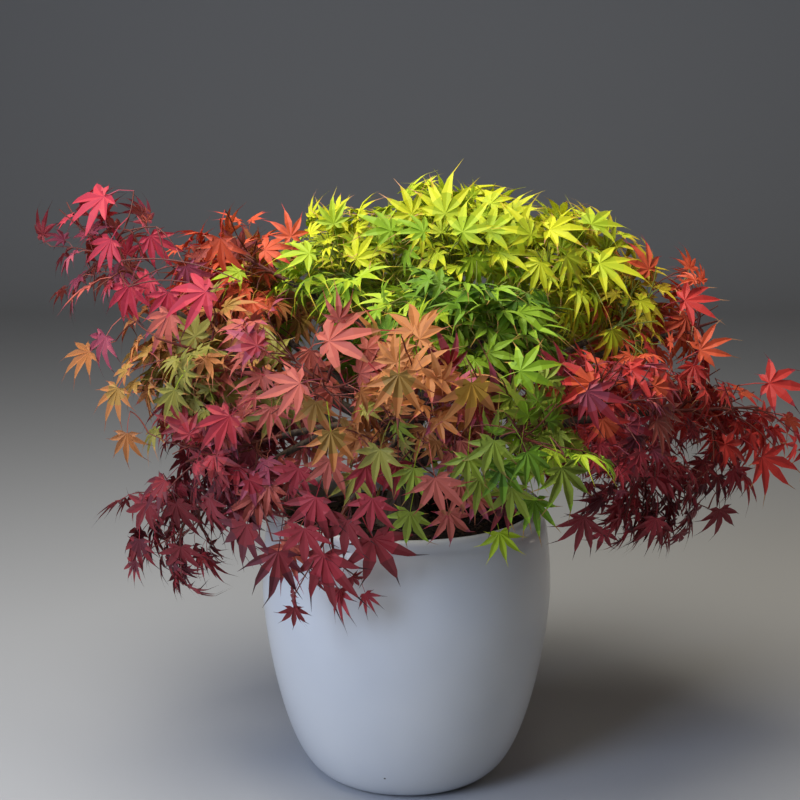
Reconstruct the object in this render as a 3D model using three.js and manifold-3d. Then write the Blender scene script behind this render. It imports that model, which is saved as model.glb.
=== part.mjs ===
// A Japanese maple in autumn colour, grown as a low wide shrub in a round glazed pot.
// Millimetres, +Z up. The origin is the middle of the pot's flat underside, and the
// side that is seen from the front faces -Y.
import * as THREE from "three";
import { mergeVertices } from "three/addons/utils/BufferGeometryUtils.js";
import Module from "manifold-3d";

const wasm = await Module();
wasm.setup();

const GAP = 0.3; // clearance between neighbouring solids
const FINE = 0.05; // edges and slivers smaller than this, which a join leaves, are closed up

// Driving dimensions of the pot
const POT_HEIGHT = 365;
const FOOT_RADIUS = 103;
const BELLY_RADIUS = 190;
const BELLY_HEIGHT = 248;
const RIM_RADIUS = 178;
const WALL = 13;
const FLOOR = 18;
const POT_SIDES = 34;
const OUTER_RINGS = [7, 28, 66, 120, 182, BELLY_HEIGHT, 306]; // heights of corners of the outside
const INNER_RINGS = [200, 50]; // heights of the corners of the inner wall under the rim
const FOOT_CURVE = 1.4; // how soon the side turns up out of the foot
const BELLY_CURVE = 2.15; // how full the side is below the belly
const SHOULDER_CURVE = 2.1; // how late the shoulder draws in to the rim
const LIP_TURNS = [0.33, 0.67]; // corners of the round lip, as shares of its half turn

// Driving dimensions of the potting mix and the short trunk
const SOIL_EDGE = 334;
const SOIL_CROWN = 340;
const SOIL_PAD = 60; // radius of the level top round the trunk
const SOIL_SIDES = 24;
const SOIL_CLEAR = 1.5; // between the mix and the wall, whose faces cut inside its radius
const SOIL_CLEAR_LOW = 3; // the same where the wall turns into the floor
const SOIL_FLOOR_CLEAR = 1;
const TRUNK_FOOT = [-6, 0];
const TRUNK_BEND = 400; // height up to which the trunk pulls upright
const TRUNK_TOP = [8, 6, 458];
const TRUNK_RADIUS = 17;
const TRUNK_TAPER = 3; // added to the radius at the foot and taken off it at the top
const TRUNK_SIDES = 12;
const TRUNK_RINGS = 6;
const FLARE = 20; // how far the root flare stands out at the soil
const FLARE_FADE = 7;
const FLARE_LOBES = 4;
const FLARE_WAVE = 0.3;

// Driving dimensions of the boughs. A bough ends where it enters its mass, which is where it
// comes this near the middle, as a share of the mass's reach, and this far from its borders.
const BOUGH_SIDES = 5;
const BOUGH_RINGS = 3;
const BOUGH_ENTRY = 0.72;
const BOUGH_CLEAR = 6;
const BOUGH_SHARES = { least: 0.2, most: 0.97, step: 0.02 };
const BOUGH_TAPER = 0.85; // how far a bough has thinned towards the stem at its end

// Driving dimensions of the stem and twigs in a mass
const STEM_RADIUS = 3.4;
const STEM_REACH = 0.28; // how far a stem runs past the middle, as a share of the way out
const STEM_BEND = 0.5;
const TWIG_RADIUS = 3;
const TWIG_END = 2.4;
const TWIG_PAIR_EACH = 44; // a mass has one pair of side twigs for each such length of its reach
const TWIG_FIRST = 0.25; // where the first pair leaves the stem, as a share of its length
const TWIG_RANGE = 0.6; // how much of the stem the pairs are spread over
const TWIG_TURN = 1.4; // radians from one pair to the next, round the stem
const TWIG_TURN_VARIES = 0.6;
const TWIG_SPREAD = 1.25; // radians between the stem and a side twig
const TWIG_SPREAD_VARIES = 0.3;
const TWIG_REACH = 0.4; // how much of the way to the edge of its mass a twig runs
const TWIG_SHORTEST = 14;
const TWIG_BOW = { along: 0.2, out: 0.35 };

// Driving dimensions of a leaf
const LOBES = [
  // turn from the middle of the leaf in radians, and length as a share of the blade
  [-1.35, 0.64],
  [-0.68, 0.92],
  [0, 1],
  [0.68, 0.92],
  [1.35, 0.64],
];
const NOTCH = 0.32; // where two lobes part, as a share of the blade
const BLADE_MOST = 92; // from the palm of a leaf to the tip of its middle lobe
const BLADE_LEAST = 50;
const BLADE_STEP = 0.92;
const BLADE_THICK = 3.2; // over the palm, from where the blade thins towards its edge
const DROOP = { least: 0.08, more: 0.14 }; // how far the tips hang, as a share of the blade
const STALK = 15;
const STALK_SHARE = { least: 0.5, more: 1 };
const STALK_SUNK = 1; // how far the root of a leaf lies past the middle of its twig
const STALK_HALF = 2.2; // half the width of the stalk where it meets the blade
const STALK_NECK = 3; // from there to the palm

// How leaves stand on the twigs. A leaf at an end of a twig follows it, and a side leaf lies
// across it. The shares say how much it faces out of the crown and up, and points outwards.
const LEAVES_MOST = 11; // in one mass
const LEAF_SEATS = [
  // share of the twig's length, and side
  [0.985, 0],
  [0.8, 1],
  [0.6, -1],
];
const END_LEAF = { faceOut: 0.8, faceUp: 0.4 };
const SIDE_LEAF = { faceOut: 0.6, faceUp: 0.15, pointOut: 0.3, pointUp: 0.05 };
const HANG = { under: 640, over: 300, most: 0.8 }; // leaves hang more the lower they grow
const LEAF_TURNS = 14; // ways of hanging that are tried at each seat
const LEAF_YAW = 3;
const LEAF_ROLL = 1.6;
const ROOT_ZONE = 11; // a leaf may meet its twig and its neighbours this near its root
const MASS_HALF = 90; // half the size of a usual mass
const LEAF_SLACK = 1.08; // leaf tips may pass the reach of their mass by this much
const POT_CLEAR = 3; // leaves keep this clear of the pot
const POT_GUARD_RINGS = [0, 28, 84, 170, 262, POT_HEIGHT];

const GLAZE = 0xe9e8e6;
const MIX = 0x2a2320;
const BARK = 0x6a5548;
const TINTS = {
  crimson: 0x8f1f26,
  scarlet: 0xc8322a,
  rose: 0xb2485a,
  bronze: 0xb9703f,
  gold: 0xe0b92c,
  lime: 0xb4cc2e,
  green: 0x5f9a2e,
};

// Each mass of leaves and the bough that carries it: name, tint, middle and half sizes of
// the mass; the limb that the bough leaves, at which share of its length, how far the middle
// of the bough is raised, and its radius at that limb; the seed of the mass.
const MASSES = [
  ["yellow_top", "gold", [66, 45, 704], [128, 118, 88], "trunk", 1, 0, 10, 1],
  ["lime_top_left", "lime", [-88, 35, 672], [120, 115, 86], "yellow_top", 0.3, 10, 6, 202],
  ["yellow_top_right", "gold", [202, 38, 668], [115, 112, 84], "yellow_top", 0.22, 10, 7, 3],
  ["scarlet_top_left", "scarlet", [-208, 70, 672], [105, 108, 82], "lime_top_left", 0.5, 10, 5, 4],
  ["crimson_tip_left", "scarlet", [-388, 20, 698], [120, 92, 96], "trunk", 0.66, -50, 8, 5],
  ["rose_left", "rose", [-278, -64, 580], [148, 128, 112], "trunk", 0.86, 30, 9, 6],
  ["green_middle", "green", [77, -110, 630], [132, 125, 92], "trunk", 0.93, 0, 7, 7],
  ["rose_front_left", "rose", [-104, -262, 580], [122, 118, 112], "trunk", 0.78, 45, 9, 208],
  ["bronze_front", "bronze", [10, -280, 540], [112, 110, 120], "trunk", 0.88, 40, 8, 9],
  ["green_front_right", "green", [136, -258, 510], [112, 100, 102], "trunk", 0.72, 60, 8, 10],
  ["rose_front_right", "rose", [232, -188, 538], [100, 108, 96], "green_front_right", 0.45, 15, 5, 11],
  ["gold_right", "gold", [295, -10, 612], [112, 115, 98], "trunk", 0.8, 20, 9, 312],
  ["orange_right", "bronze", [372, 0, 596], [100, 105, 90], "gold_right", 0.5, 10, 6, 13],
  ["scarlet_right", "scarlet", [412, -20, 492], [142, 118, 122], "trunk", 0.62, 40, 9, 14],
  ["crimson_right_low", "crimson", [305, -75, 410], [122, 120, 92], "scarlet_right", 0.5, 15, 6, 15],
  ["crimson_left", "crimson", [-235, -148, 462], [134, 122, 86], "rose_front_left", 0.35, 25, 7, 16],
  ["crimson_left_low", "crimson", [-284, -48, 350], [126, 118, 84], "crimson_left", 0.4, 25, 5, 117],
  ["crimson_over_rim", "crimson", [-96, -232, 384], [118, 74, 100], "bronze_front", 0.5, 15, 5, 318],
  ["lime_back", "lime", [-20, 185, 645], [138, 125, 95], "yellow_top", 0.38, 10, 7, 19],
  ["bronze_back_left", "bronze", [-225, 195, 580], [138, 130, 105], "trunk", 0.84, 25, 9, 20],
  ["gold_back_right", "gold", [220, 195, 575], [138, 130, 105], "gold_right", 0.35, 15, 7, 21],
  ["green_back", "green", [0, 305, 505], [142, 105, 108], "trunk", 0.75, 50, 8, 122],
  ["crimson_back_left", "crimson", [-235, 200, 430], [135, 125, 92], "bronze_back_left", 0.45, 25, 6, 23],
  ["scarlet_back_right", "scarlet", [245, 215, 425], [135, 125, 92], "green_back", 0.45, 25, 6, 24],
].map(([name, tint, at, reach, from, along, lift, thick, seed]) => {
  return { name, tint, middle: vec(at), reach, from, along, lift, thick, seed };
});

const CROWN_HEART = vec([0, 0, 420]);
const UP = vec([0, 0, 1]);

function vec(numbers) {
  return new THREE.Vector3(...numbers);
}

const mix = (a, b, share) => a + (b - a) * share;

// A seeded sequence of numbers from 0 to 1, the same on every machine.
function draws(seed) {
  const [seedTimes, seedPlus, times, plus, range] = [7919, 12345, 1664525, 1013904223, 2 ** 32];
  let state = (seed * seedTimes + seedPlus) >>> 0;
  return () => {
    state = (Math.imul(times, state) + plus) >>> 0;
    return state / range;
  };
}

// A draw between -width / 2 and width / 2.
const spreadOf = (draw, width) => (draw() - 0.5) * width;

// A closed geometry as a manifold solid, and back.
function solid(geometry) {
  const mergeWithin = 1e-4;
  const bare = new THREE.BufferGeometry()
    .setAttribute("position", geometry.getAttribute("position").clone())
    .setIndex(geometry.index);
  const merged = mergeVertices(bare, mergeWithin);
  return new wasm.Manifold(
    new wasm.Mesh({
      numProp: 3,
      vertProperties: merged.attributes.position.array,
      triVerts: new Uint32Array(merged.index.array),
    }),
  );
}

function geometryOf(manifold) {
  const { vertProperties, triVerts } = manifold.getMesh();
  return new THREE.BufferGeometry()
    .setAttribute("position", new THREE.BufferAttribute(vertProperties, 3))
    .setIndex(new THREE.BufferAttribute(triVerts, 1));
}

// The largest body of a solid that was joined or cut, without the slivers that this leaves.
function largest(manifold) {
  const bodies = manifold.simplify(FINE).decompose();
  return bodies.reduce((a, b) => (b.volume() > a.volume() ? b : a));
}

function addMesh(group, name, geometry, color, roughness) {
  const shaded = geometry.index ? geometry.toNonIndexed() : geometry;
  shaded.computeVertexNormals();
  const mesh = new THREE.Mesh(shaded, new THREE.MeshStandardMaterial({ color, roughness, metalness: 0 }));
  mesh.name = name;
  group.add(mesh);
}

// The pot is turned on a wheel: one closed section, spun about the Z axis.
function outerRadius(z) {
  if (z < BELLY_HEIGHT) {
    const below = (BELLY_HEIGHT - z) / BELLY_HEIGHT;
    const full = (1 - below ** FOOT_CURVE) ** (1 / BELLY_CURVE);
    return mix(FOOT_RADIUS, BELLY_RADIUS, full);
  }
  const above = (z - BELLY_HEIGHT) / (POT_HEIGHT - BELLY_HEIGHT);
  return mix(BELLY_RADIUS, RIM_RADIUS, above ** SHOULDER_CURVE);
}

const innerRadius = (z) => outerRadius(z) - WALL;

function spun(corners, sides) {
  const section = corners.map(([radius, z]) => new THREE.Vector2(radius, z));
  return new THREE.LatheGeometry(section, sides).rotateX(Math.PI / 2);
}

function potCorners() {
  const lip = WALL / 2;
  const lipHeight = POT_HEIGHT - lip;
  const corners = [[0, 0], [FOOT_RADIUS, 0]];
  for (const z of [...OUTER_RINGS, lipHeight]) corners.push([outerRadius(z), z]);
  for (const turn of LIP_TURNS) {
    const angle = turn * Math.PI;
    corners.push([RIM_RADIUS - lip + lip * Math.cos(angle), lipHeight + lip * Math.sin(angle)]);
  }
  for (const z of [lipHeight, ...INNER_RINGS]) corners.push([innerRadius(z), z]);
  corners.push([0, FLOOR]);
  return corners;
}

// The potting mix fills the pot to a little under its rim.
function soilCorners() {
  const [upper, lower] = INNER_RINGS;
  return [
    [0, FLOOR + SOIL_FLOOR_CLEAR],
    [innerRadius(lower) - SOIL_CLEAR_LOW, lower],
    [RIM_RADIUS - WALL - SOIL_CLEAR, upper],
    [RIM_RADIUS - WALL - SOIL_CLEAR, SOIL_EDGE],
    [SOIL_PAD, SOIL_CROWN],
    [0, SOIL_CROWN],
  ];
}

// A solid a little larger than the pot, which the leaves keep clear of.
function potGuardCorners() {
  const corners = POT_GUARD_RINGS.map((z) => [outerRadius(z) + POT_CLEAR, z]);
  return [[0, 0], ...corners, [0, POT_HEIGHT]];
}

// A round limb: a cylinder whose rings are carried along a curve and tapered.
function limbGeometry(curve, radiusAt, sides, rings) {
  const geometry = new THREE.CylinderGeometry(1, 1, 1, sides, rings);
  const { tangents, normals } = curve.computeFrenetFrames(rings, false);
  const position = geometry.getAttribute("position");
  for (let i = 0; i < position.count; i++) {
    const share = position.getY(i) + 0.5;
    const ring = Math.round(share * rings);
    const across = normals[ring].clone().cross(tangents[ring]);
    const angle = Math.atan2(position.getZ(i), position.getX(i));
    const out = Math.hypot(position.getX(i), position.getZ(i)) * radiusAt(share, angle);
    const point = curve
      .getPointAt(share)
      .addScaledVector(normals[ring], Math.cos(angle) * out)
      .addScaledVector(across, Math.sin(angle) * out);
    position.setXYZ(i, point.x, point.y, point.z);
  }
  return geometry;
}

const limbSolid = (...limb) => solid(limbGeometry(...limb));

const bow = (start, middle, end) => new THREE.QuadraticBezierCurve3(start, middle, end);

// The same bow, ended at the share t of its parameter.
const shortened = (b, t) => bow(b.v0, b.v0.clone().lerp(b.v1, t), b.getPoint(t));

// The trunk leans a little from a foot that stands upright, with a root flare in lobes.
const TRUNK_CURVE = bow(
  vec([...TRUNK_FOOT, SOIL_CROWN + GAP]),
  vec([...TRUNK_FOOT, TRUNK_BEND]),
  vec(TRUNK_TOP),
);

function trunkRadius(extra) {
  return (share, angle) => {
    const flare = FLARE * Math.exp(-share * FLARE_FADE);
    const wave = 1 + FLARE_WAVE * Math.cos(FLARE_LOBES * angle);
    const plain = mix(TRUNK_RADIUS + TRUNK_TAPER, TRUNK_RADIUS - TRUNK_TAPER, share);
    return plain + flare * wave + extra;
  };
}

const trunkGeometry = (extra) => limbGeometry(TRUNK_CURVE, trunkRadius(extra), TRUNK_SIDES, TRUNK_RINGS);

const tapered = (base, tip, extra) => (share) => mix(base, tip, share) + extra;

// A vector with each part divided by the mass's reach along that axis.
function inReaches(mass, vector) {
  return vector.clone().divide(vec(mass.reach));
}

// How far the mass reaches from its middle along a direction.
const reachAlong = (mass, way) => 1 / inReaches(mass, way).length();

// The borders of each mass's space: one flat border towards each other mass, which parts the
// way between their middles as their reaches do.
function layBorders() {
  for (const mass of MASSES) {
    mass.borders = MASSES.filter((other) => other !== mass).map((other) => {
      const way = other.middle.clone().sub(mass.middle);
      const apart = way.length();
      way.normalize();
      const mine = reachAlong(mass, way);
      return { way, far: (apart * mine) / (mine + reachAlong(other, way)) };
    });
  }
}

// Whether a point lies in the mass's own space: inside its reach times slack, and on its
// own side of the borders with all other masses by the margin.
function inSpace(mass, point, slack, margin) {
  const from = point.clone().sub(mass.middle);
  if (inReaches(mass, from).length() > slack) return false;
  return mass.borders.every(({ way, far }) => from.dot(way) < far - margin);
}

// How far a straight line from a point runs inside the mass's space.
function roomAlong(mass, point, way) {
  const from = point.clone().sub(mass.middle);
  const [p, d] = [inReaches(mass, from), inReaches(mass, way)];
  const [square, half] = [d.dot(d), p.dot(d)];
  const inside = half * half - square * (p.dot(p) - 1);
  if (inside <= 0) return 0;
  let room = (Math.sqrt(inside) - half) / square;
  for (const border of mass.borders) {
    const speed = way.dot(border.way);
    if (speed > 0) room = Math.min(room, (border.far - GAP - from.dot(border.way)) / speed);
  }
  return room;
}

// A bough runs from the middle of the limb that carries it into its mass, where it ends.
function boughCurve(mass, parent) {
  const start = parent.getPointAt(mass.along);
  if (mass.along === 1) start.addScaledVector(parent.getTangentAt(1), GAP);
  const middle = start.clone().lerp(mass.middle, 0.5).addScaledVector(UP, mass.lift);
  const whole = bow(start, middle, mass.middle);
  const { least, most, step } = BOUGH_SHARES;
  let share = least;
  while (share < most && !inSpace(mass, whole.getPoint(share), BOUGH_ENTRY, BOUGH_CLEAR)) share += step;
  return shortened(whole, share);
}

function boughSolid(mass, curve, extra) {
  const tip = mix(mass.thick, STEM_RADIUS, BOUGH_TAPER);
  return limbSolid(curve, tapered(mass.thick, tip, extra), BOUGH_SIDES, BOUGH_RINGS);
}

// The stem of a mass starts where its bough ends, and runs on through the middle.
function stemCurve(mass, bough) {
  const way = bough.getTangentAt(1);
  const start = bough.getPointAt(1).addScaledVector(way, GAP);
  const out = mass.middle.clone().sub(CROWN_HEART).normalize().add(way).normalize();
  const past = STEM_REACH * roomAlong(mass, mass.middle, out);
  const end = mass.middle.clone().addScaledVector(out, past);
  const middle = start.clone().addScaledVector(way, STEM_BEND * start.distanceTo(end));
  return bow(start, middle, end);
}

// Side twigs leave the stem in opposite pairs, each pair turned across the last one.
function twigCurves(mass, stem, draw) {
  const twigs = [];
  const pairs = Math.round(Math.hypot(...mass.reach) / Math.sqrt(3) / TWIG_PAIR_EACH);
  for (let pair = 0; pair < pairs; pair++) {
    const share = TWIG_FIRST + (TWIG_RANGE * pair) / pairs;
    const node = stem.getPointAt(share);
    const along = stem.getTangentAt(share);
    const level = along.clone().cross(UP).normalize();
    const turn = pair * TWIG_TURN + spreadOf(draw, TWIG_TURN_VARIES);
    for (const side of [0, Math.PI]) {
      const across = level.clone().applyAxisAngle(along, turn + side);
      const spread = TWIG_SPREAD + spreadOf(draw, TWIG_SPREAD_VARIES);
      const way = along.clone().multiplyScalar(Math.cos(spread)).addScaledVector(across, Math.sin(spread));
      const long = TWIG_REACH * roomAlong(mass, node, way);
      if (long < TWIG_SHORTEST) continue;
      const end = node.clone().addScaledVector(way, long);
      const middle = node.clone().addScaledVector(along, TWIG_BOW.along * long);
      twigs.push(bow(node, middle.addScaledVector(way, TWIG_BOW.out * long), end));
    }
  }
  return twigs;
}

// Where leaves may stand: one follows on the end of each twig and of the stem, and one
// stands to each side a little way back.
function leafSeats(stem, twigs) {
  const seats = [];
  for (const [share, side] of LEAF_SEATS) {
    for (const curve of [stem, ...twigs]) {
      const along = curve.getTangentAt(share);
      const level = along.clone().cross(UP).normalize().multiplyScalar(side);
      seats.push({ point: curve.getPointAt(share), way: side ? level : along, last: !side });
    }
  }
  return seats;
}

// A Japanese maple leaf with five lobes on a flat stalk, from its root at the origin along
// +X, upper side towards +Z: a low pyramid over the palm and flat facets underneath. Notches
// and tips droop alike, so the upper facets stay above the lower ones all over.
function leafPoints(blade, stalk, droop) {
  const at = (angle, long) => {
    const out = blade * long;
    return vec([stalk + out * Math.cos(angle), out * Math.sin(angle), -droop * out]);
  };
  const neck = stalk - STALK_NECK;
  const points = [vec([stalk, 0, BLADE_THICK]), vec([-STALK_SUNK, 0, 0]), vec([neck, -STALK_HALF, 0])];
  LOBES.forEach(([angle, long], i) => {
    points.push(at(angle, long));
    if (i < LOBES.length - 1) points.push(at((angle + LOBES[i + 1][0]) / 2, NOTCH));
  });
  points.push(vec([neck, STALK_HALF, 0]));
  return points;
}

// The same faces for every leaf, in the order of its points: the hub over the palm, the
// root, then the edge from one side of the stalk round the tips and notches to the other.
const LEAF_FACES = leafFaces();

function leafFaces() {
  const [hub, root, first] = [0, 1, 2];
  const last = first + 2 * LOBES.length;
  const faces = [hub, root, first, hub, last, root, root, last, first];
  for (let i = first; i < last; i++) faces.push(hub, i, i + 1);
  for (let tip = first + 1; tip < last; tip += 2) faces.push(tip - 1, tip + 1, tip);
  for (let notch = first + 2; notch < last; notch += 2) {
    faces.push(first, Math.min(notch + 2, last), notch);
  }
  return faces;
}

function leafSolid(points) {
  return solid(new THREE.BufferGeometry().setFromPoints(points).setIndex(LEAF_FACES));
}

// The frame of a leaf: X along its stalk, Z out of its upper side.
function leafFrame({ point, way, last }, mass, yaw, roll) {
  const out = point.clone().sub(CROWN_HEART).normalize();
  const side = vec([out.x, out.y, 0]).normalize();
  const radial = point.clone().sub(mass.middle).divideScalar(MASS_HALF);
  const hang = THREE.MathUtils.clamp((HANG.under - point.z) / HANG.over, 0, HANG.most);
  const { faceOut, faceUp, pointOut, pointUp } = last ? END_LEAF : SIDE_LEAF;
  const face = radial.addScaledVector(last ? side : out, faceOut).addScaledVector(UP, faceUp);
  face.normalize().applyAxisAngle(way, roll);
  const forward = way.clone().applyAxisAngle(face, yaw).addScaledVector(UP, -hang);
  if (!last) forward.addScaledVector(out, pointOut).addScaledVector(face, pointUp - forward.dot(face));
  forward.normalize();
  face.addScaledVector(forward, -face.dot(forward)).normalize();
  return new THREE.Matrix4().makeBasis(forward, face.clone().cross(forward), face).setPosition(point);
}

// The ways in which a leaf could hang from its seat inside the mass's space, the largest
// first. Each is a list of the leaf's points.
function leafChoices(seat, mass, draw) {
  const choices = [];
  for (let turn = 0; turn < LEAF_TURNS; turn++) {
    const wide = turn / LEAF_TURNS;
    const place = leafFrame(seat, mass, spreadOf(draw, LEAF_YAW * wide), spreadOf(draw, LEAF_ROLL * wide));
    const stalk = STALK * (STALK_SHARE.least + STALK_SHARE.more * draw());
    const droop = DROOP.least + DROOP.more * draw();
    for (let blade = BLADE_MOST; blade > BLADE_LEAST; blade *= BLADE_STEP) {
      const points = leafPoints(blade, stalk, droop).map((corner) => corner.applyMatrix4(place));
      if (!points.every((corner) => inSpace(mass, corner, LEAF_SLACK, GAP))) continue;
      choices.push({ blade, points });
      break;
    }
  }
  return choices.sort((a, b) => b.blade - a.blade);
}

// Whether a leaf meets the rest of its mass at its root and nowhere else.
function rootsWell(leaf, root, grown) {
  const meet = leaf.intersect(grown);
  if (meet.isEmpty()) return false;
  const { min, max } = meet.boundingBox();
  return Math.max(root.distanceTo(vec(min)), root.distanceTo(vec(max))) < ROOT_ZONE;
}

// One mass: its stem, its side twigs and its leaves, fused to one solid. A twig or leaf that
// would touch a limb or the pot is skipped, and so is a scrap that hangs on nothing.
function growMass(mass, bough, limbs) {
  const draw = draws(mass.seed);
  const stem = stemCurve(mass, bough);
  const twigs = twigCurves(mass, stem, draw);
  const fits = (piece) => piece.intersect(limbs).isEmpty();
  let grown = limbSolid(stem, tapered(STEM_RADIUS, TWIG_END, 0), 3, 2);
  for (const twig of twigs) {
    const piece = limbSolid(twig, tapered(TWIG_RADIUS, TWIG_END, 0), 3, 1);
    if (fits(piece)) grown = grown.add(piece);
  }
  let count = 0;
  for (const seat of leafSeats(stem, twigs)) {
    for (const { points } of leafChoices(seat, mass, draw)) {
      if (count === LEAVES_MOST) break;
      const leaf = leafSolid(points);
      if (!fits(leaf) || !rootsWell(leaf, seat.point, grown)) continue;
      grown = grown.add(leaf);
      count += 1;
      break;
    }
  }
  return largest(grown);
}

function addPot(tree) {
  addMesh(tree, "pot", spun(potCorners(), POT_SIDES), GLAZE, 0.25);
  addMesh(tree, "potting_mix", spun(soilCorners(), SOIL_SIDES), MIX, 0.95);
}

// Adds the trunk and the boughs. It returns the curve of each limb, and one solid of them
// all, swollen by GAP, which is what a later piece keeps clear of.
function addLimbs(tree) {
  const barkRoughness = 0.85;
  const curves = { trunk: TRUNK_CURVE };
  addMesh(tree, "trunk", trunkGeometry(0), BARK, barkRoughness);
  let limbs = solid(trunkGeometry(GAP));
  for (const mass of MASSES) {
    const curve = boughCurve(mass, curves[mass.from]);
    const bough = largest(boughSolid(mass, curve, 0).subtract(limbs));
    addMesh(tree, "bough_" + mass.name, geometryOf(bough), BARK, barkRoughness);
    limbs = limbs.add(boughSolid(mass, curve, GAP));
    curves[mass.name] = curve;
  }
  return { curves, limbs };
}

function build() {
  const tree = new THREE.Group();
  const leafRoughness = 0.6;
  layBorders();
  addPot(tree);
  const { curves, limbs } = addLimbs(tree);
  const solids = limbs.add(solid(spun(potGuardCorners(), POT_SIDES)));
  for (const mass of MASSES) {
    const grown = growMass(mass, curves[mass.name], solids);
    addMesh(tree, "leaves_" + mass.name, geometryOf(grown), TINTS[mass.tint], leafRoughness);
  }
  return tree;
}

export default build();
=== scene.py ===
# A Japanese maple in autumn colour, a low wide shrub in a round glazed pot, put together from
# the pot up: pot, potting mix, trunk and boughs, twigs, leaves, then the floor and the lights.
import itertools
import math

import bpy
import numpy as np
from mathutils import Matrix, Vector, noise
from mathutils.kdtree import KDTree


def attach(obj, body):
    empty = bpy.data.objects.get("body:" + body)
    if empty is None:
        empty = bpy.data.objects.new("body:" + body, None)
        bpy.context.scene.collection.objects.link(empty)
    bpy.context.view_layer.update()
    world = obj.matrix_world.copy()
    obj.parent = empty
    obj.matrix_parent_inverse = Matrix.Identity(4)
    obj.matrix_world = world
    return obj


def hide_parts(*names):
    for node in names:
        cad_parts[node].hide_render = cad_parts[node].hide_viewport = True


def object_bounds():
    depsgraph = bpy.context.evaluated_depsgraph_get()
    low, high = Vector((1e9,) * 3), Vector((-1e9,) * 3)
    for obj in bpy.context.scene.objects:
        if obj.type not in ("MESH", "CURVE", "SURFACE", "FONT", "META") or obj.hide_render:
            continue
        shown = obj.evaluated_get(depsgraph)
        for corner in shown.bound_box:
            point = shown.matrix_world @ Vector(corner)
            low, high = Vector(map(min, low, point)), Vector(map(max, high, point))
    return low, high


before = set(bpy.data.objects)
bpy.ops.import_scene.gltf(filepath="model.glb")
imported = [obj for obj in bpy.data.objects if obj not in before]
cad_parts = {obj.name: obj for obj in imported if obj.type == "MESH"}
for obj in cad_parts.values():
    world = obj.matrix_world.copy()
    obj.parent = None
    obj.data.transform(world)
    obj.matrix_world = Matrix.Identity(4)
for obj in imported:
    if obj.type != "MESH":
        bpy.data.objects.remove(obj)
cad_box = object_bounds()

# The viewpoint. The plant is seen from a little over two metres away and from above the rim
# of its pot, through a short telephoto lens.
CAMERA_PLACE = (-0.0086, -2.269, 1.025)
CAMERA_DOWN = math.radians(13)
LENS_LENGTH = 81
SENSOR_WIDTH = 36

camera_data = bpy.data.cameras.new("camera")
camera_data.lens = LENS_LENGTH
camera_data.sensor_width = SENSOR_WIDTH
camera = bpy.data.objects.new("camera", camera_data)
camera.location = CAMERA_PLACE
camera.rotation_euler = (math.pi / 2 - CAMERA_DOWN, 0, 0)
bpy.context.scene.collection.objects.link(camera)
bpy.context.scene.camera = camera

# The pot. Stoneware thrown on a wheel, with a full belly, a shallow cove under a round lip and
# a narrow flat foot, dipped in a pale satin glaze.

# Sizes are in millimetres, and those inside a material in metres, as the places it reads are.
MM = 0.001
POT_HEIGHT = 365
FOOT_RADIUS = 103
FOOT_BEVEL = 2
BELLY_RADIUS = 190
BELLY_HEIGHT = 248
RIM_RADIUS = 178
POT_WALL = 13
POT_FLOOR = 18
POT_SIDES = 160
POT_RINGS = 64
RING_CROWDING = 1.3
FOOT_CURVE = 1.4
BELLY_CURVE = 2.15
SHOULDER_CURVE = 2.1
COVE = {"height": 350, "half": 6, "deep": 4.4}
LIP_STEPS = 10
INNER_HEIGHTS = [340, 320, 290, 240, 180, 120, 60, 26]
GLAZE_COLOURS = ["#d8dce0", "#e1e4e6"]
PINHOLE = {"place": (-0.028, -0.1425, 0.039), "radius": 0.0014, "colour": "#4a4744"}


def linear(hex_colour):
    """An sRGB hex colour as linear red, green, blue and alpha."""
    parts = [int(hex_colour[i : i + 2], 16) / 255 for i in (1, 3, 5)]
    return (*[c / 12.92 if c <= 0.04045 else ((c + 0.055) / 1.055) ** 2.4 for c in parts], 1)


def add(tree, kind, inputs=None, **settings):
    """Adds a node with its settings. An input is a value, or a socket that is linked to it."""
    node = tree.nodes.new(kind)
    for name, value in settings.items():
        setattr(node, name, value)
    for name, value in (inputs or {}).items():
        if isinstance(value, bpy.types.NodeSocket):
            tree.links.new(value, node.inputs[name])
        else:
            node.inputs[name].default_value = value
    return node


def new_material(name, constants):
    """A material whose shader has these constants. Returns it with its tree and its shader."""
    material = bpy.data.materials.new(name)
    material.use_nodes = True
    tree = material.node_tree
    shader = tree.nodes["Principled BSDF"]
    for socket, value in constants.items():
        shader.inputs[socket].default_value = value
    return material, tree, shader


def new_piece(name, points_mm, faces, materials, face_materials=None, smooth=True):
    """A mesh object at the origin from points in millimetres."""
    mesh = bpy.data.meshes.new(name)
    mesh.from_pydata((np.asarray(points_mm, float) * MM).tolist(), [], faces)
    for material in materials:
        mesh.materials.append(material)
    if face_materials is not None:
        mesh.polygons.foreach_set("material_index", face_materials)
    mesh.polygons.foreach_set("use_smooth", [smooth] * len(mesh.polygons))
    mesh.update()
    piece = bpy.data.objects.new(name, mesh)
    bpy.context.scene.collection.objects.link(piece)
    return piece


def stacked_faces(rings, sides):
    """Faces of rings of points in a row, closed onto the first point and onto the last."""
    last = 1 + rings * sides
    faces = []
    for k in range(sides):
        after = (k + 1) % sides
        faces.append((0, 1 + after, 1 + k))
        for low in range(1, last - sides, sides):
            high = low + sides
            faces.append((low + k, low + after, high + after, high + k))
        faces.append((last, last - sides + k, last - sides + after))
    return faces


def spun(section, sides):
    """Points and faces of a section spun about the Z axis. Both its ends lie on the axis."""
    points = [(0, 0, section[0][1])]
    turns = [2 * math.pi * k / sides for k in range(sides)]
    for radius, z in section[1:-1]:
        points += [(radius * math.cos(a), radius * math.sin(a), z) for a in turns]
    points.append((0, 0, section[-1][1]))
    return points, stacked_faces(len(section) - 2, sides)


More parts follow.
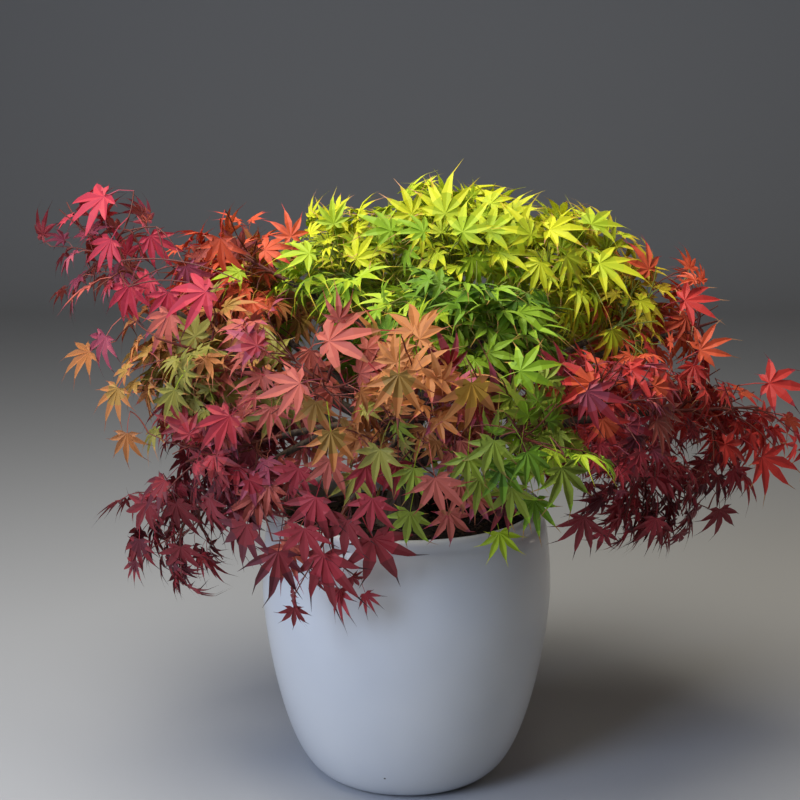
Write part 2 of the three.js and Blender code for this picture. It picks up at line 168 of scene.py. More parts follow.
def pot_radius(z):
    """Radius of the outside of the pot at a height: full up to the belly, and slowly in again."""
    if z < BELLY_HEIGHT:
        below = (BELLY_HEIGHT - z) / BELLY_HEIGHT
        full = (1 - below**FOOT_CURVE) ** (1 / BELLY_CURVE)
        return FOOT_RADIUS + (BELLY_RADIUS - FOOT_RADIUS) * full
    above = min((z - BELLY_HEIGHT) / (POT_HEIGHT - BELLY_HEIGHT), 1)
    return BELLY_RADIUS + (RIM_RADIUS - BELLY_RADIUS) * above**SHOULDER_CURVE


def pot_section():
    """The section of the pot, up its outside, over its lip and down its inside."""
    lip = POT_WALL / 2
    lip_height = POT_HEIGHT - lip
    section = [(0, 0), (FOOT_RADIUS - FOOT_BEVEL, 0)]
    for ring in range(POT_RINGS):
        # The rings lie closest at the foot, where the side turns fastest.
        z = FOOT_BEVEL + (lip_height - FOOT_BEVEL) * (ring / (POT_RINGS - 1)) ** RING_CROWDING
        off = (z - COVE["height"]) / COVE["half"]
        section.append((pot_radius(z) - COVE["deep"] * math.exp(-off * off), z))
    for step in range(1, LIP_STEPS + 1):
        turn = math.pi * step / LIP_STEPS
        section.append((RIM_RADIUS - lip + lip * math.cos(turn), lip_height + lip * math.sin(turn)))
    section += [(pot_radius(z) - POT_WALL, z) for z in INNER_HEIGHTS]
    return section + [(0, POT_FLOOR)]


def glaze():
    """Pale satin stoneware glaze: opaque, a little mottled where it pooled, with the faint
    rings of the throwing under it, an orange-peel skin and one dark pinhole by the foot."""
    material, tree, shader = new_material(
        "satin_stoneware_glaze",
        {"IOR": 1.5, "Coat Weight": 0.35, "Coat Roughness": 0.12, "Specular IOR Level": 0.5},
    )
    place = add(tree, "ShaderNodeTexCoord").outputs["Object"]
    pooled = add(tree, "ShaderNodeTexNoise", {"Vector": place, "Scale": 6.0, "Detail": 2.0})
    tone = add(tree, "ShaderNodeValToRGB", {"Fac": pooled.outputs["Fac"]})
    for stop, at, colour in zip(tone.color_ramp.elements, (0.35, 0.65), GLAZE_COLOURS):
        stop.position, stop.color = at, linear(colour)
    far = add(tree, "ShaderNodeVectorMath", {0: place, 1: PINHOLE["place"]}, operation="DISTANCE")
    sizes = {0: far.outputs["Value"], 1: PINHOLE["radius"]}
    hole = add(tree, "ShaderNodeMath", sizes, operation="LESS_THAN")
    # Inputs 6 and 7 and output 2 of a Mix node are its colours.
    parts = {"Factor": hole.outputs[0], 6: tone.outputs["Color"], 7: linear(PINHOLE["colour"])}
    skin = add(tree, "ShaderNodeMix", parts, data_type="RGBA")
    tree.links.new(skin.outputs[2], shader.inputs["Base Color"])
    # Throwing rings about 11 mm apart, and a skin with dimples of about 2 mm.
    waves = {"Vector": place, "Scale": 14.0, "Distortion": 1.5, "Detail": 1.0}
    rings = add(tree, "ShaderNodeTexWave", waves, bands_direction="Z")
    dimples = add(tree, "ShaderNodeTexNoise", {"Vector": place, "Scale": 420.0, "Detail": 1.0})
    relief = {"Height": rings.outputs["Fac"], "Strength": 0.1, "Distance": 0.0006}
    low = add(tree, "ShaderNodeBump", relief)
    relief = {"Height": dimples.outputs["Fac"], "Strength": 0.12, "Distance": 0.0003}
    fine = add(tree, "ShaderNodeBump", {**relief, "Normal": low.outputs[0]})
    tree.links.new(fine.outputs[0], shader.inputs["Normal"])
    span = {"Value": pooled.outputs["Fac"], "To Min": 0.26, "To Max": 0.36}
    gloss = add(tree, "ShaderNodeMapRange", span)
    tree.links.new(gloss.outputs[0], shader.inputs["Roughness"])
    return material


pot = new_piece("pot_glazed", *spun(pot_section(), POT_SIDES), [glaze()])
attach(pot, "root")
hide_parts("pot")

# The potting mix. Dark composted bark fills the pot to a little under its rim, crowned a
# little round the trunk, with loose chips of bark lying on it.
SOIL_EDGE = 334
SOIL_CROWN = 340
SOIL_PAD = 60
SOIL_RADIUS = 163.5
SOIL_SIDE = [(150, 50), (SOIL_RADIUS, 200)]
SOIL_LIFT = 1
SOIL_SIDES = 120
SOIL_RING = 4
CRUMB = {"high": 2.2, "wide": 9, "finer": 2.3, "fine_share": 0.6}
CHIP_SIZE = 0.009
CHIP_FORM = (1.0, 0.55, 0.34)
CHIP_SIZES = (0.25, 1.0)
CHIP_TURNS = [(-0.5, -0.5, 0.0), (0.5, 0.5, 6.28)]
CHIP_DENSITY = 24000
CHIP_SEED = 5
CHIP_REACH = 158
CHIP_LIFT = 1
MIX_COLOURS = ["#120d0a", "#2c211a"]
CHIP_COLOURS = ["#1d1511", "#4a3728"]
# Specks to a metre: one every 6 mm in the mix, and one every 11 mm on the chips.
MIX_GRAIN = 160.0
CHIP_GRAIN = 90.0


def soil_height(radius):
    """Height of the mix: a flat pad round the trunk, and a slope from it down to the wall."""
    slope = (radius - SOIL_PAD) / (SOIL_RADIUS - SOIL_PAD)
    return SOIL_CROWN - (SOIL_CROWN - SOIL_EDGE) * max(slope, 0)


def soil_mesh():
    """The fill of mix, with a crumbly top inside the ring where it meets the wall."""
    top = [(r, soil_height(r)) for r in np.arange(SOIL_RADIUS, SOIL_RING, -SOIL_RING)]
    section = [(0, POT_FLOOR + SOIL_LIFT), *SOIL_SIDE, *top, (0, SOIL_CROWN)]
    points, faces = spun(section, SOIL_SIDES)
    crumbly = []
    for x, y, z in points:
        if z > SOIL_EDGE:
            at = Vector((x, y, 0)) / CRUMB["wide"]
            z += CRUMB["high"] * (noise.noise(at) + CRUMB["fine_share"] * noise.noise(at * CRUMB["finer"]))
        crumbly.append((x, y, z))
    return crumbly, faces


def earthy(name, colours, grain):
    """Damp composted bark: matt, nearly black, each crumb a little lighter or darker."""
    material, tree, shader = new_material(name, {"Roughness": 0.95, "Specular IOR Level": 0.25})
    place = add(tree, "ShaderNodeTexCoord").outputs["Object"]
    crumbs = add(tree, "ShaderNodeTexNoise", {"Vector": place, "Scale": grain, "Detail": 6.0})
    tone = add(tree, "ShaderNodeValToRGB", {"Fac": crumbs.outputs["Fac"]})
    for stop, at, colour in zip(tone.color_ramp.elements, (0.4, 0.68), colours):
        stop.position, stop.color = at, linear(colour)
    relief = {"Height": crumbs.outputs["Fac"], "Strength": 0.7, "Distance": 0.002}
    bump = add(tree, "ShaderNodeBump", relief)
    tree.links.new(tone.outputs["Color"], shader.inputs["Base Color"])
    tree.links.new(bump.outputs[0], shader.inputs["Normal"])
    return material


def new_tree(name, inputs):
    """A Geometry Nodes tree with a geometry going through it and these named inputs."""
    tree = bpy.data.node_groups.new(name, "GeometryNodeTree")
    tree.interface.new_socket("Geometry", in_out="INPUT", socket_type="NodeSocketGeometry")
    tree.interface.new_socket("Geometry", in_out="OUTPUT", socket_type="NodeSocketGeometry")
    for label, (kind, value) in inputs.items():
        socket = tree.interface.new_socket(label, in_out="INPUT", socket_type=kind)
        if value is not None:
            socket.default_value = value
    return tree, tree.nodes.new("NodeGroupInput"), tree.nodes.new("NodeGroupOutput")


def grown_by(tree, source, values, name):
    """The plain mesh that a tree makes of an object, as a new object. The source is removed."""
    modifier = source.modifiers.new("maker", "NODES")
    modifier.node_group = tree
    for item in tree.interface.items_tree:
        if item.item_type == "SOCKET" and item.in_out == "INPUT" and item.name in values:
            modifier[item.identifier] = values[item.name]
    graph = bpy.context.evaluated_depsgraph_get()
    mesh = bpy.data.meshes.new_from_object(source.evaluated_get(graph), depsgraph=graph)
    source.modifiers.remove(modifier)
    bpy.data.objects.remove(source)
    mesh.name = name
    piece = bpy.data.objects.new(name, mesh)
    bpy.context.scene.collection.objects.link(piece)
    return piece


def end_tree(tree, made, geometry, material):
    """Ends a tree: makes its instances real and gives them their material."""
    real = add(tree, "GeometryNodeRealizeInstances", {"Geometry": geometry})
    skin = {"Geometry": real.outputs["Geometry"], "Material": material}
    dressed = add(tree, "GeometryNodeSetMaterial", skin)
    tree.links.new(dressed.outputs["Geometry"], made.inputs["Geometry"])
    return tree


def chip_tree():
    """Chips strewn over a surface: low flat lumps, each turned and sized at random."""
    tree, given, made = new_tree(
        "bark_chips",
        {
            "Chip size": ("NodeSocketFloat", CHIP_SIZE),
            "Density": ("NodeSocketFloat", float(CHIP_DENSITY)),
            "Seed": ("NodeSocketInt", CHIP_SEED),
            "Bark": ("NodeSocketMaterial", None),
        },
    )
    strewn = add(
        tree,
        "GeometryNodeDistributePointsOnFaces",
        {
            "Mesh": given.outputs["Geometry"],
            "Density": given.outputs["Density"],
            "Seed": given.outputs["Seed"],
        },
    )
    lump = add(tree, "GeometryNodeMeshIcoSphere", {"Radius": 0.5, "Subdivisions": 1})
    flat = {"Geometry": lump.outputs["Mesh"], "Scale": CHIP_FORM}
    shape = add(tree, "GeometryNodeTransform", flat)
    # Inputs 0 and 1 of a random vector are its least and its most, 2 and 3 those of a number.
    turns = {0: CHIP_TURNS[0], 1: CHIP_TURNS[1], "Seed": given.outputs["Seed"]}
    turn = add(tree, "FunctionNodeRandomValue", turns, data_type="FLOAT_VECTOR")
    sizes = {2: CHIP_SIZES[0], 3: CHIP_SIZES[1], "Seed": given.outputs["Seed"]}
    size = add(tree, "FunctionNodeRandomValue", sizes, data_type="FLOAT")
    factors = {0: size.outputs[1], 1: given.outputs["Chip size"]}
    sized = add(tree, "ShaderNodeMath", factors, operation="MULTIPLY")
    placed = add(
        tree,
        "GeometryNodeInstanceOnPoints",
        {
            "Points": strewn.outputs["Points"],
            "Instance": shape.outputs["Geometry"],
            "Rotation": turn.outputs[0],
            "Scale": sized.outputs[0],
        },
    )
    return end_tree(tree, made, placed.outputs["Instances"], given.outputs["Bark"])


compost = earthy("damp_bark_compost", MIX_COLOURS, MIX_GRAIN)
mix_top = new_piece("potting_mix_top", *soil_mesh(), [compost])
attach(mix_top, "root")
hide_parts("potting_mix")

chip_rings = [(r, soil_height(r) + CHIP_LIFT) for r in (CHIP_REACH, SOIL_PAD)]
bed_section = [(0, SOIL_CROWN), *chip_rings, (0, SOIL_CROWN + CHIP_LIFT)]
bed_points, bed_faces = spun(bed_section, SOIL_SIDES)
upper_faces = [face for face in bed_faces if 0 not in face]
chip_bed = new_piece("chip_bed", bed_points, upper_faces, [])
chip_bark = earthy("loose_bark_chips", CHIP_COLOURS, CHIP_GRAIN)
chips = grown_by(chip_tree(), chip_bed, {"Bark": chip_bark}, "bark_chips")
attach(chips, "root")

# The trunk and the boughs. A short trunk leans from a flared foot to its fork, and each bough
# is one tapering limb that rises from it, or from another bough, to where its leaves begin.
# Smooth grey-brown bark, its colours darkened as painted shade, with fine upright ridges and a swollen
# collar where a limb leaves.

# Between two limbs, and between the trunk and the mix, stays a gap too thin to see.
GAP = 0.3
TRUNK_FOOT = (-6, 0)
TRUNK_BEND = 400
TRUNK_TOP = (8, 6, 458)
TRUNK_RADIUS = 17
TRUNK_TAPER = 3
TRUNK_SIDES = 56
TRUNK_RING = 2.5
TRUNK_SEED = 3
FLARE = 20
FLARE_FADE = 7
FLARE_LOBES = 4
FLARE_WAVE = 0.3
BOUGH_SIDES = 16
BOUGH_RING = 5
BOUGH_ENTRY = 0.72
BOUGH_CLEAR = 6
BOUGH_SHARES = {"least": 0.2, "most": 0.97, "step": 0.02}
BOUGH_TAPER = 0.85
COLLAR = 0.35
COLLAR_FADE = 12
BOW_STEPS = 65
LEAST_RINGS = 4
LIMB_NOSE = 0.4
RELIEF = 0.045
RIDGES = {"around": 2.6, "length": 60, "finer": 3, "fine_share": 0.5}
KNOTS = {"length": 16, "share": 0.6}
STEM_RADIUS = 3.4
CROWN_HEART = Vector((0, 0, 420))
UP = Vector((0, 0, 1))
# The bark colours are darker than the bark itself: painted shade for the shade under the crown.
SHADED_BARK_COLOURS = ["#2e2520", "#615348"]

# Each mass of leaves and the bough that carries it: name, middle and half sizes, the limb that
# the bough leaves, at which share of it, how far its middle is raised, its radius there, and
# the seed of the mass. Then the length of its leaves, how full it is, and the tints of the
# sprays in its upper and its lower half, from its left side to its right.
MASSES = [
    ["yellow_top", (66, 45, 704), (128, 118, 88), "trunk", 1, 0, 10, 1, 50, 1.0,
     ["sun", "sun", "sun"], ["lime", "sun", "lime"]],
    ["lime_top_left", (-88, 35, 672), (120, 115, 86), "yellow_top", 0.3, 10, 6, 202, 42, 0.9,
     ["lime", "sun", "lime"], ["lime", "lime", "green"]],
    ["yellow_top_right", (202, 38, 668), (115, 112, 84), "yellow_top", 0.22, 10, 7, 3, 50, 1.0,
     ["sun", "sun", "gold"], ["lime", "sun", "gold"]],
    ["scarlet_top_left", (-208, 70, 672), (105, 108, 82), "lime_top_left", 0.5, 10, 5, 4, 46, 0.28,
     ["flame", "flame", "flame"], ["rose", "flame", "lime"]],
    ["crimson_tip_left", (-388, 20, 698), (120, 92, 96), "trunk", 0.66, -50, 8, 5, 52, 0.26,
     ["cherry", "cherry", "rose"], ["rose", "rose", "cherry"]],
    ["rose_left", (-278, -64, 580), (148, 128, 112), "trunk", 0.86, 30, 9, 6, 52, 0.72,
     ["bronze", "olive", "bronze"], ["bronze", "olive", "rust"]],
    ["green_middle", (77, -110, 630), (132, 125, 92), "trunk", 0.93, 0, 7, 7, 46, 1.0,
     ["lime", "green", "green"], ["green", "green", "green"]],
    ["rose_front_left", (-104, -262, 580), (122, 118, 112), "trunk", 0.78, 45, 9, 208, 54, 0.85,
     ["rose", "rust", "bronze"], ["rust", "olive", "bronze"]],
    ["bronze_front", (10, -280, 540), (112, 110, 120), "trunk", 0.88, 40, 8, 9, 54, 0.85,
     ["bronze", "bronze", "rose"], ["olive", "fern", "rose"]],
    ["green_front_right", (136, -258, 510), (112, 100, 102), "trunk", 0.72, 60, 8, 10, 48, 0.8,
     ["rose", "fern", "green"], ["fern", "fern", "lime"]],
    ["rose_front_right", (232, -188, 538), (100, 108, 96), "green_front_right", 0.45, 15, 5, 11, 50, 0.75,
     ["ruby", "scarlet", "rose"], ["fern", "ruby", "crimson"]],
    ["gold_right", (295, -10, 612), (112, 115, 98), "trunk", 0.8, 20, 9, 312, 48, 0.95,
     ["sun", "gold", "flame"], ["gold", "flame", "scarlet"]],
    ["orange_right", (372, 0, 596), (100, 105, 90), "gold_right", 0.5, 10, 6, 13, 48, 0.7,
     ["gold", "flame", "scarlet"], ["flame", "scarlet", "scarlet"]],
    ["scarlet_right", (412, -20, 492), (142, 118, 122), "trunk", 0.62, 40, 9, 14, 50, 0.66,
     ["scarlet", "scarlet", "scarlet"], ["crimson", "ruby", "scarlet"]],
    ["crimson_right_low", (305, -75, 410), (122, 120, 92), "scarlet_right", 0.5, 15, 6, 15, 48, 0.62,
     ["crimson", "ruby", "crimson"], ["crimson", "crimson", "crimson"]],
    ["crimson_left", (-235, -148, 462), (134, 122, 86), "rose_front_left", 0.35, 25, 7, 16, 52, 0.6,
     ["ruby", "crimson", "rose"], ["crimson", "crimson", "crimson"]],
    ["crimson_left_low", (-284, -48, 350), (126, 118, 84), "crimson_left", 0.4, 25, 5, 117, 50, 0.36,
     ["crimson", "crimson", "crimson"], ["crimson", "crimson", "crimson"]],
    ["crimson_over_rim", (-96, -232, 384), (118, 74, 100), "bronze_front", 0.5, 15, 5, 318, 50, 0.5,
     ["crimson", "rose", "olive"], ["crimson", "crimson", "ruby"]],
    ["lime_back", (-20, 185, 645), (138, 125, 95), "yellow_top", 0.38, 10, 7, 19, 46, 1.0,
     ["lime", "sun", "sun"], ["green", "lime", "lime"]],
    ["bronze_back_left", (-225, 195, 580), (138, 130, 105), "trunk", 0.84, 25, 9, 20, 52, 1.0,
     ["flame", "bronze", "lime"], ["rose", "bronze", "olive"]],
    ["gold_back_right", (220, 195, 575), (138, 130, 105), "gold_right", 0.35, 15, 7, 21, 50, 1.0,
     ["lime", "gold", "sun"], ["green", "gold", "flame"]],
    ["green_back", (0, 305, 505), (142, 105, 108), "trunk", 0.75, 50, 8, 122, 50, 1.0,
     ["green", "lime", "green"], ["bronze", "green", "olive"]],
    ["crimson_back_left", (-235, 200, 430), (135, 125, 92), "bronze_back_left", 0.45, 25, 6, 23, 50, 0.9,
     ["ruby", "crimson", "rose"], ["crimson", "crimson", "crimson"]],
    ["scarlet_back_right", (245, 215, 425), (135, 125, 92), "green_back", 0.45, 25, 6, 24, 50, 0.9,
     ["rose", "scarlet", "scarlet"], ["crimson", "ruby", "scarlet"]],
]


class Bow:
    """A quadratic curve from start to end, read by shares of its length."""

    def __init__(self, start, middle, end):
        self.start, self.middle, self.end = start, middle, end
        self.steps = np.linspace(0, 1, BOW_STEPS)
        t = self.steps[:, None]
        a, b, c = (np.array(p) for p in (start, middle, end))
        way = a * (1 - t) ** 2 + b * 2 * t * (1 - t) + c * t**2
        self.run = np.concatenate([[0], np.cumsum(np.linalg.norm(np.diff(way, axis=0), axis=1))])
        self.length = self.run[-1]

    def at_step(self, t):
        return self.start * (1 - t) ** 2 + self.middle * (2 * t * (1 - t)) + self.end * t**2

    def step_of(self, share):
        return float(np.interp(share * self.length, self.run, self.steps))

    def point(self, share):
        return self.at_step(self.step_of(share))

    def tangent(self, share):
        t = self.step_of(share)
        return ((self.middle - self.start) * (1 - t) + (self.end - self.middle) * t).normalized()

    def shortened(self, t):
        """The part of the curve up to a step."""
        return Bow(self.start, self.start.lerp(self.middle, t), self.at_step(t))


class Mass:
    """One mass of leaves, with the space that it keeps to."""

    def __init__(self, name, middle, reach, carrier, along, lift, thick, seed, blade, full, above, below):
        self.name, self.carrier, self.along, self.lift = name, carrier, along, lift
        self.thick, self.seed, self.blade, self.full = thick, seed, blade, full
        self.above, self.below = above, below
        self.middle, self.reach = Vector(middle), Vector(reach)

    def in_reaches(self, v):
        return Vector((v.x / self.reach.x, v.y / self.reach.y, v.z / self.reach.z))

    def reach_along(self, way):
        return 1 / self.in_reaches(way).length

    def lay_borders(self, masses):
        """One flat border towards each other mass, parting the way as their reaches do."""
        self.ways, self.fars = [], []
        for other in masses:
            if other is self:
                continue
            way = other.middle - self.middle
            apart = way.length
            way.normalize()
            mine = self.reach_along(way)
            self.ways.append(way)
            self.fars.append(apart * mine / (mine + other.reach_along(way)))
        self.way_rows = np.array(self.ways)
        self.far_row = np.array(self.fars)

    def holds(self, points, slack, margin):
        """Whether all the points lie inside its reach times slack and clear of its borders."""
        off = np.atleast_2d(np.asarray(points, float)) - np.array(self.middle)
        if (np.linalg.norm(off / np.array(self.reach), axis=1) > slack).any():
            return False
        return bool((off @ self.way_rows.T < self.far_row - margin).all())

    def room(self, point, way):
        """How far a straight line from a point runs inside its space."""
        off = point - self.middle
        p, d = self.in_reaches(off), self.in_reaches(way)
        square, half = d.dot(d), p.dot(d)
        inside = half * half - square * (p.dot(p) - 1)
        if inside <= 0:
            return 0
        room = (math.sqrt(inside) - half) / square
        for border, far in zip(self.ways, self.fars):
            speed = way.dot(border)
            if speed > 0:
                room = min(room, (far - GAP - off.dot(border)) / speed)
        return room


masses = [Mass(*row) for row in MASSES]
by_name = {mass.name: mass for mass in masses}
for mass in masses:
    mass.lay_borders(masses)


def bough_curve(mass, parent):
    """The curve of a bough, from the limb that bears it to where it is well inside its mass."""
    start = parent.point(mass.along)
    if mass.along == 1:
        start = start + parent.tangent(1) * GAP
    middle = start.lerp(mass.middle, 0.5) + UP * mass.lift
    whole = Bow(start, middle, mass.middle)
    share = BOUGH_SHARES["least"]
    while share < BOUGH_SHARES["most"]:
        if mass.holds(whole.at_step(share), BOUGH_ENTRY, BOUGH_CLEAR):
            break
        share += BOUGH_SHARES["step"]
    return whole.shortened(share)


def limb_frames(curve, count):
    """Points along a curve with two directions across it, carried along without a twist."""
    frames = []
    across = None
    for k in range(count):
        share = k / (count - 1)
        along = curve.tangent(share)
        if across is None:
            across = along.orthogonal()
        across = (across - along * across.dot(along)).normalized()
        frames.append((share, curve.point(share), across, along.cross(across)))
    return frames


def limb_mesh(curve, radius_at, sides, ring_gap, seed):
    """A limb with the relief of its bark: fine ridges along it and shallow dents."""
    count = max(int(curve.length / ring_gap), LEAST_RINGS)
    wide = RIDGES["around"]
    points = [curve.point(0)]
    for share, point, across, other in limb_frames(curve, count):
        run = share * curve.length
        knot = noise.noise(Vector((seed, 0, run / KNOTS["length"])))
        for k in range(sides):
            angle = 2 * math.pi * k / sides
            aside, ahead = math.cos(angle), math.sin(angle)
            place = Vector((aside * wide, ahead * wide, run / RIDGES["length"] + seed))
            dent = noise.noise(place) + RIDGES["fine_share"] * noise.noise(place * RIDGES["finer"])
            radius = radius_at(share, angle) * (1 + RELIEF * (dent + KNOTS["share"] * knot))
            points.append(point + (across * aside + other * ahead) * radius)
    points.append(curve.point(1) + curve.tangent(1) * radius_at(1, 0) * LIMB_NOSE)
    return points, stacked_faces(count, sides)


def trunk_radius(share, angle):
    """Radius of the trunk: a slight taper, and a flare with low lobes at its foot."""
    flare = FLARE * math.exp(-share * FLARE_FADE)
    wave = 1 + FLARE_WAVE * math.cos(FLARE_LOBES * angle)
    plain = TRUNK_RADIUS + TRUNK_TAPER * (1 - 2 * share)
    return plain + flare * wave


def bough_radius(mass):
    """The radius of a bough: an even taper from a swollen collar."""
    tip = mass.thick + (STEM_RADIUS - mass.thick) * BOUGH_TAPER

    def radius(share, angle):
        collar = 1 + COLLAR * math.exp(-share * COLLAR_FADE)
        return (mass.thick + (tip - mass.thick) * share) * collar

    return radius


def bark():
    """Smooth maple bark, grey-brown and darkened as painted shade: satin-matt, with pale streaks along it
    and fine grain.
    """
    material, tree, shader = new_material("smooth_maple_bark", {"Specular IOR Level": 0.3})
    place = add(tree, "ShaderNodeTexCoord").outputs["Object"]
    # Streaks about 5 mm wide, and nearly five times as long up the limb.
    drawn = add(tree, "ShaderNodeMapping", {"Vector": place, "Scale": (1.0, 1.0, 0.22)})
    grain = {"Vector": drawn.outputs[0], "Scale": 190.0, "Detail": 5.0, "Roughness": 0.6}
    streaks = add(tree, "ShaderNodeTexNoise", grain)
    tone = add(tree, "ShaderNodeValToRGB", {"Fac": streaks.outputs["Fac"]})
    for stop, at, colour in zip(tone.color_ramp.elements, (0.36, 0.66), SHADED_BARK_COLOURS):
        stop.position, stop.color = at, linear(colour)
    relief = {"Height": streaks.outputs["Fac"], "Strength": 0.5, "Distance": 0.0012}
    bump = add(tree, "ShaderNodeBump", relief)
    span = {"Value": streaks.outputs["Fac"], "To Min": 0.65, "To Max": 0.9}
    rough = add(tree, "ShaderNodeMapRange", span)
    tree.links.new(tone.outputs["Color"], shader.inputs["Base Color"])
    tree.links.new(bump.outputs[0], shader.inputs["Normal"])
    tree.links.new(rough.outputs[0], shader.inputs["Roughness"])
    return material


maple_bark = bark()
trunk_curve = Bow(
    Vector((*TRUNK_FOOT, SOIL_CROWN + GAP)),
    Vector((*TRUNK_FOOT, TRUNK_BEND)),
    Vector(TRUNK_TOP),
)
trunk_limb = limb_mesh(trunk_curve, trunk_radius, TRUNK_SIDES, TRUNK_RING, TRUNK_SEED)
trunk = new_piece("trunk_bark", *trunk_limb, [maple_bark])
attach(trunk, "root")
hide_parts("trunk")

curves = {"trunk": trunk_curve}
bough_points, bough_faces = [], []
for mass in masses:
    curve = bough_curve(mass, curves[mass.carrier])
    curves[mass.name] = curve
    points, faces = limb_mesh(curve, bough_radius(mass), BOUGH_SIDES, BOUGH_RING, mass.seed)
    bough_faces += [tuple(i + len(bough_points) for i in face) for face in faces]
    bough_points += points
boughs = new_piece("boughs_bark", bough_points, bough_faces, [maple_bark])
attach(boughs, "root")
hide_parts(*["bough_" + mass.name for mass in masses])

# The twigs. In each mass a stem runs on from its bough, side twigs leave it in opposite pairs,
# and finer twigs leave those in turn, each pair turned across the last one. Thin young wood,
# smooth, red-brown to green. They are drawn with the leaves, which show the ones that stay.
STEM_REACH = 0.28
STEM_BEND = 0.5
TWIG_RADIUS = 2.2
TWIG_END = 1.3
TWIG_PAIR_EACH = 44
TWIG_FIRST = 0.25
TWIG_RANGE = 0.6
TWIG_TURN = 1.4
TWIG_TURN_VARIES = 0.6
TWIG_SPREAD = 1.25
TWIG_SPREAD_VARIES = 0.3
TWIG_REACH = 0.4
TWIG_SHORTEST = 14
TWIG_BOW = {"along": 0.2, "out": 0.35}
FINE_NODES = {"stem": (0.35, 0.5, 0.65, 0.8, 0.95), "twig": (0.3, 0.55, 0.8, 0.97)}
FINE_SPREAD = {"least": 0.55, "more": 0.4}
FINE_REACH = {"least": 0.3, "more": 0.5}
FINE_MOST = 92
FINE_SHORTEST = 12
FINE_RADIUS = 1.15
FINE_END = 0.7
FINE_SEED = 1000
TUBE_SIDES = 5
TUBE_STEP = 14
LEAST_STEPS = 3
SPOT_STEP = 4
TRUNK_SPOT = TRUNK_RADIUS + 4
LIMB_CLEAR = 1.5
START_FREE = 6
DRAW_RANGE = 2**32
DRAW_START = (7919, 12345)
DRAW_STEP = (1664525, 1013904223)
YOUNG_WOOD = {"red": "#70352c", "green": "#7c8434"}
GREEN_WOOD = {"sun", "lime", "green", "gold"}


def draws(seed):
    """A seeded sequence of numbers from 0 to 1, the same on every machine."""
    state = (seed * DRAW_START[0] + DRAW_START[1]) % DRAW_RANGE
    while True:
        state = (DRAW_STEP[0] * state + DRAW_STEP[1]) % DRAW_RANGE
        yield state / DRAW_RANGE


def spread_of(draw, width):
    """A number within half a width of zero."""
    return (next(draw) - 0.5) * width


def between(span, draw):
    """A number from the least of a span up to that much more."""
    return span["least"] + span["more"] * next(draw)


def stem_curve(mass, bough):
    """The stem of a mass, which runs on from its bough and bends towards the outside."""
    way = bough.tangent(1)
    start = bough.point(1) + way * GAP
    out = ((mass.middle - CROWN_HEART).normalized() + way).normalized()
    end = mass.middle + out * (STEM_REACH * mass.room(mass.middle, out))
    return Bow(start, start + way * (STEM_BEND * (end - start).length), end)


def across_from(along, turn):
    """A direction across a limb, turned about it from the level one."""
    level = along.cross(UP).normalized()
    return Matrix.Rotation(turn, 3, along) @ level


def twig_curve(node, along, way, long):
    """A twig that leaves its limb a little along it and then bows out."""
    middle = node + along * (TWIG_BOW["along"] * long) + way * (TWIG_BOW["out"] * long)
    return Bow(node, middle, node + way * long)


def twig_curves(mass, stem, draw):
    """The side twigs of a stem, in opposite pairs."""
    twigs = []
    pairs = round(mass.reach.length / math.sqrt(3) / TWIG_PAIR_EACH)
    for pair in range(pairs):
        share = TWIG_FIRST + TWIG_RANGE * pair / pairs
        node, along = stem.point(share), stem.tangent(share)
        turn = pair * TWIG_TURN + spread_of(draw, TWIG_TURN_VARIES)
        for side in (0, math.pi):
            spread = TWIG_SPREAD + spread_of(draw, TWIG_SPREAD_VARIES)
            way = along * math.cos(spread) + across_from(along, turn + side) * math.sin(spread)
            long = TWIG_REACH * mass.room(node, way)
            if long >= TWIG_SHORTEST:
                twigs.append(twig_curve(node, along, way, long))
    return twigs


def fine_curves(mass, stem, twigs, draw):
    """The next twigs: pairs along the stem and the side twigs, and one that runs each on."""
    fine = []
    for limb in [stem, *twigs]:
        turn = next(draw) * math.pi
        for share in FINE_NODES["stem" if limb is stem else "twig"]:
            turn += math.pi / 2 + spread_of(draw, TWIG_TURN_VARIES)
            node, along = limb.point(share), limb.tangent(share)
            for side in (0, math.pi):
                spread = between(FINE_SPREAD, draw)
                reach = between(FINE_REACH, draw)
                way = along * math.cos(spread) + across_from(along, turn + side) * math.sin(spread)
                long = min(reach * mass.room(node, way), FINE_MOST)
                if long >= FINE_SHORTEST:
                    fine.append(twig_curve(node, along, way, long))
        node, along = limb.point(1), limb.tangent(1)
        long = min(between(FINE_REACH, draw) * mass.room(node, along), FINE_MOST)
        if long >= FINE_SHORTEST:
            fine.append(twig_curve(node, along, along, long))
    return fine


def tubes():
    """Turns a curve object into tubes as thick as the radius at each of its points."""
    kinds = {"Wood": ("NodeSocketMaterial", None), "Sides": ("NodeSocketInt", TUBE_SIDES)}
    tree, given, made = new_tree("twig_tubes", kinds)
    circle = {"Resolution": given.outputs["Sides"], "Radius": 1.0}
    ring = add(tree, "GeometryNodeCurvePrimitiveCircle", circle)
    radius = add(tree, "GeometryNodeInputRadius")
    tube = add(
        tree,
        "GeometryNodeCurveToMesh",
        {
            "Curve": given.outputs["Geometry"],
            "Profile Curve": ring.outputs["Curve"],
            "Scale": radius.outputs["Radius"],
            "Fill Caps": True,
        },
    )
    return end_tree(tree, made, tube.outputs["Mesh"], given.outputs["Wood"])


def curve_object(name, limbs):
    """A curve object with one spline for each limb: its curve and its radius at both ends."""
    data = bpy.data.curves.new(name, "CURVE")
    data.dimensions = "3D"
    for curve, base, tip in limbs:
        count = max(int(curve.length / TUBE_STEP), LEAST_STEPS) + 1
        spline = data.splines.new("POLY")
        spline.points.add(count - 1)
        for k, point in enumerate(spline.points):
            share = k / (count - 1)
            point.co = (*(curve.point(share) * MM), 1)
            point.radius = (base + (tip - base) * share) * MM
    made = bpy.data.objects.new(name, data)
    bpy.context.scene.collection.objects.link(made)
    return made


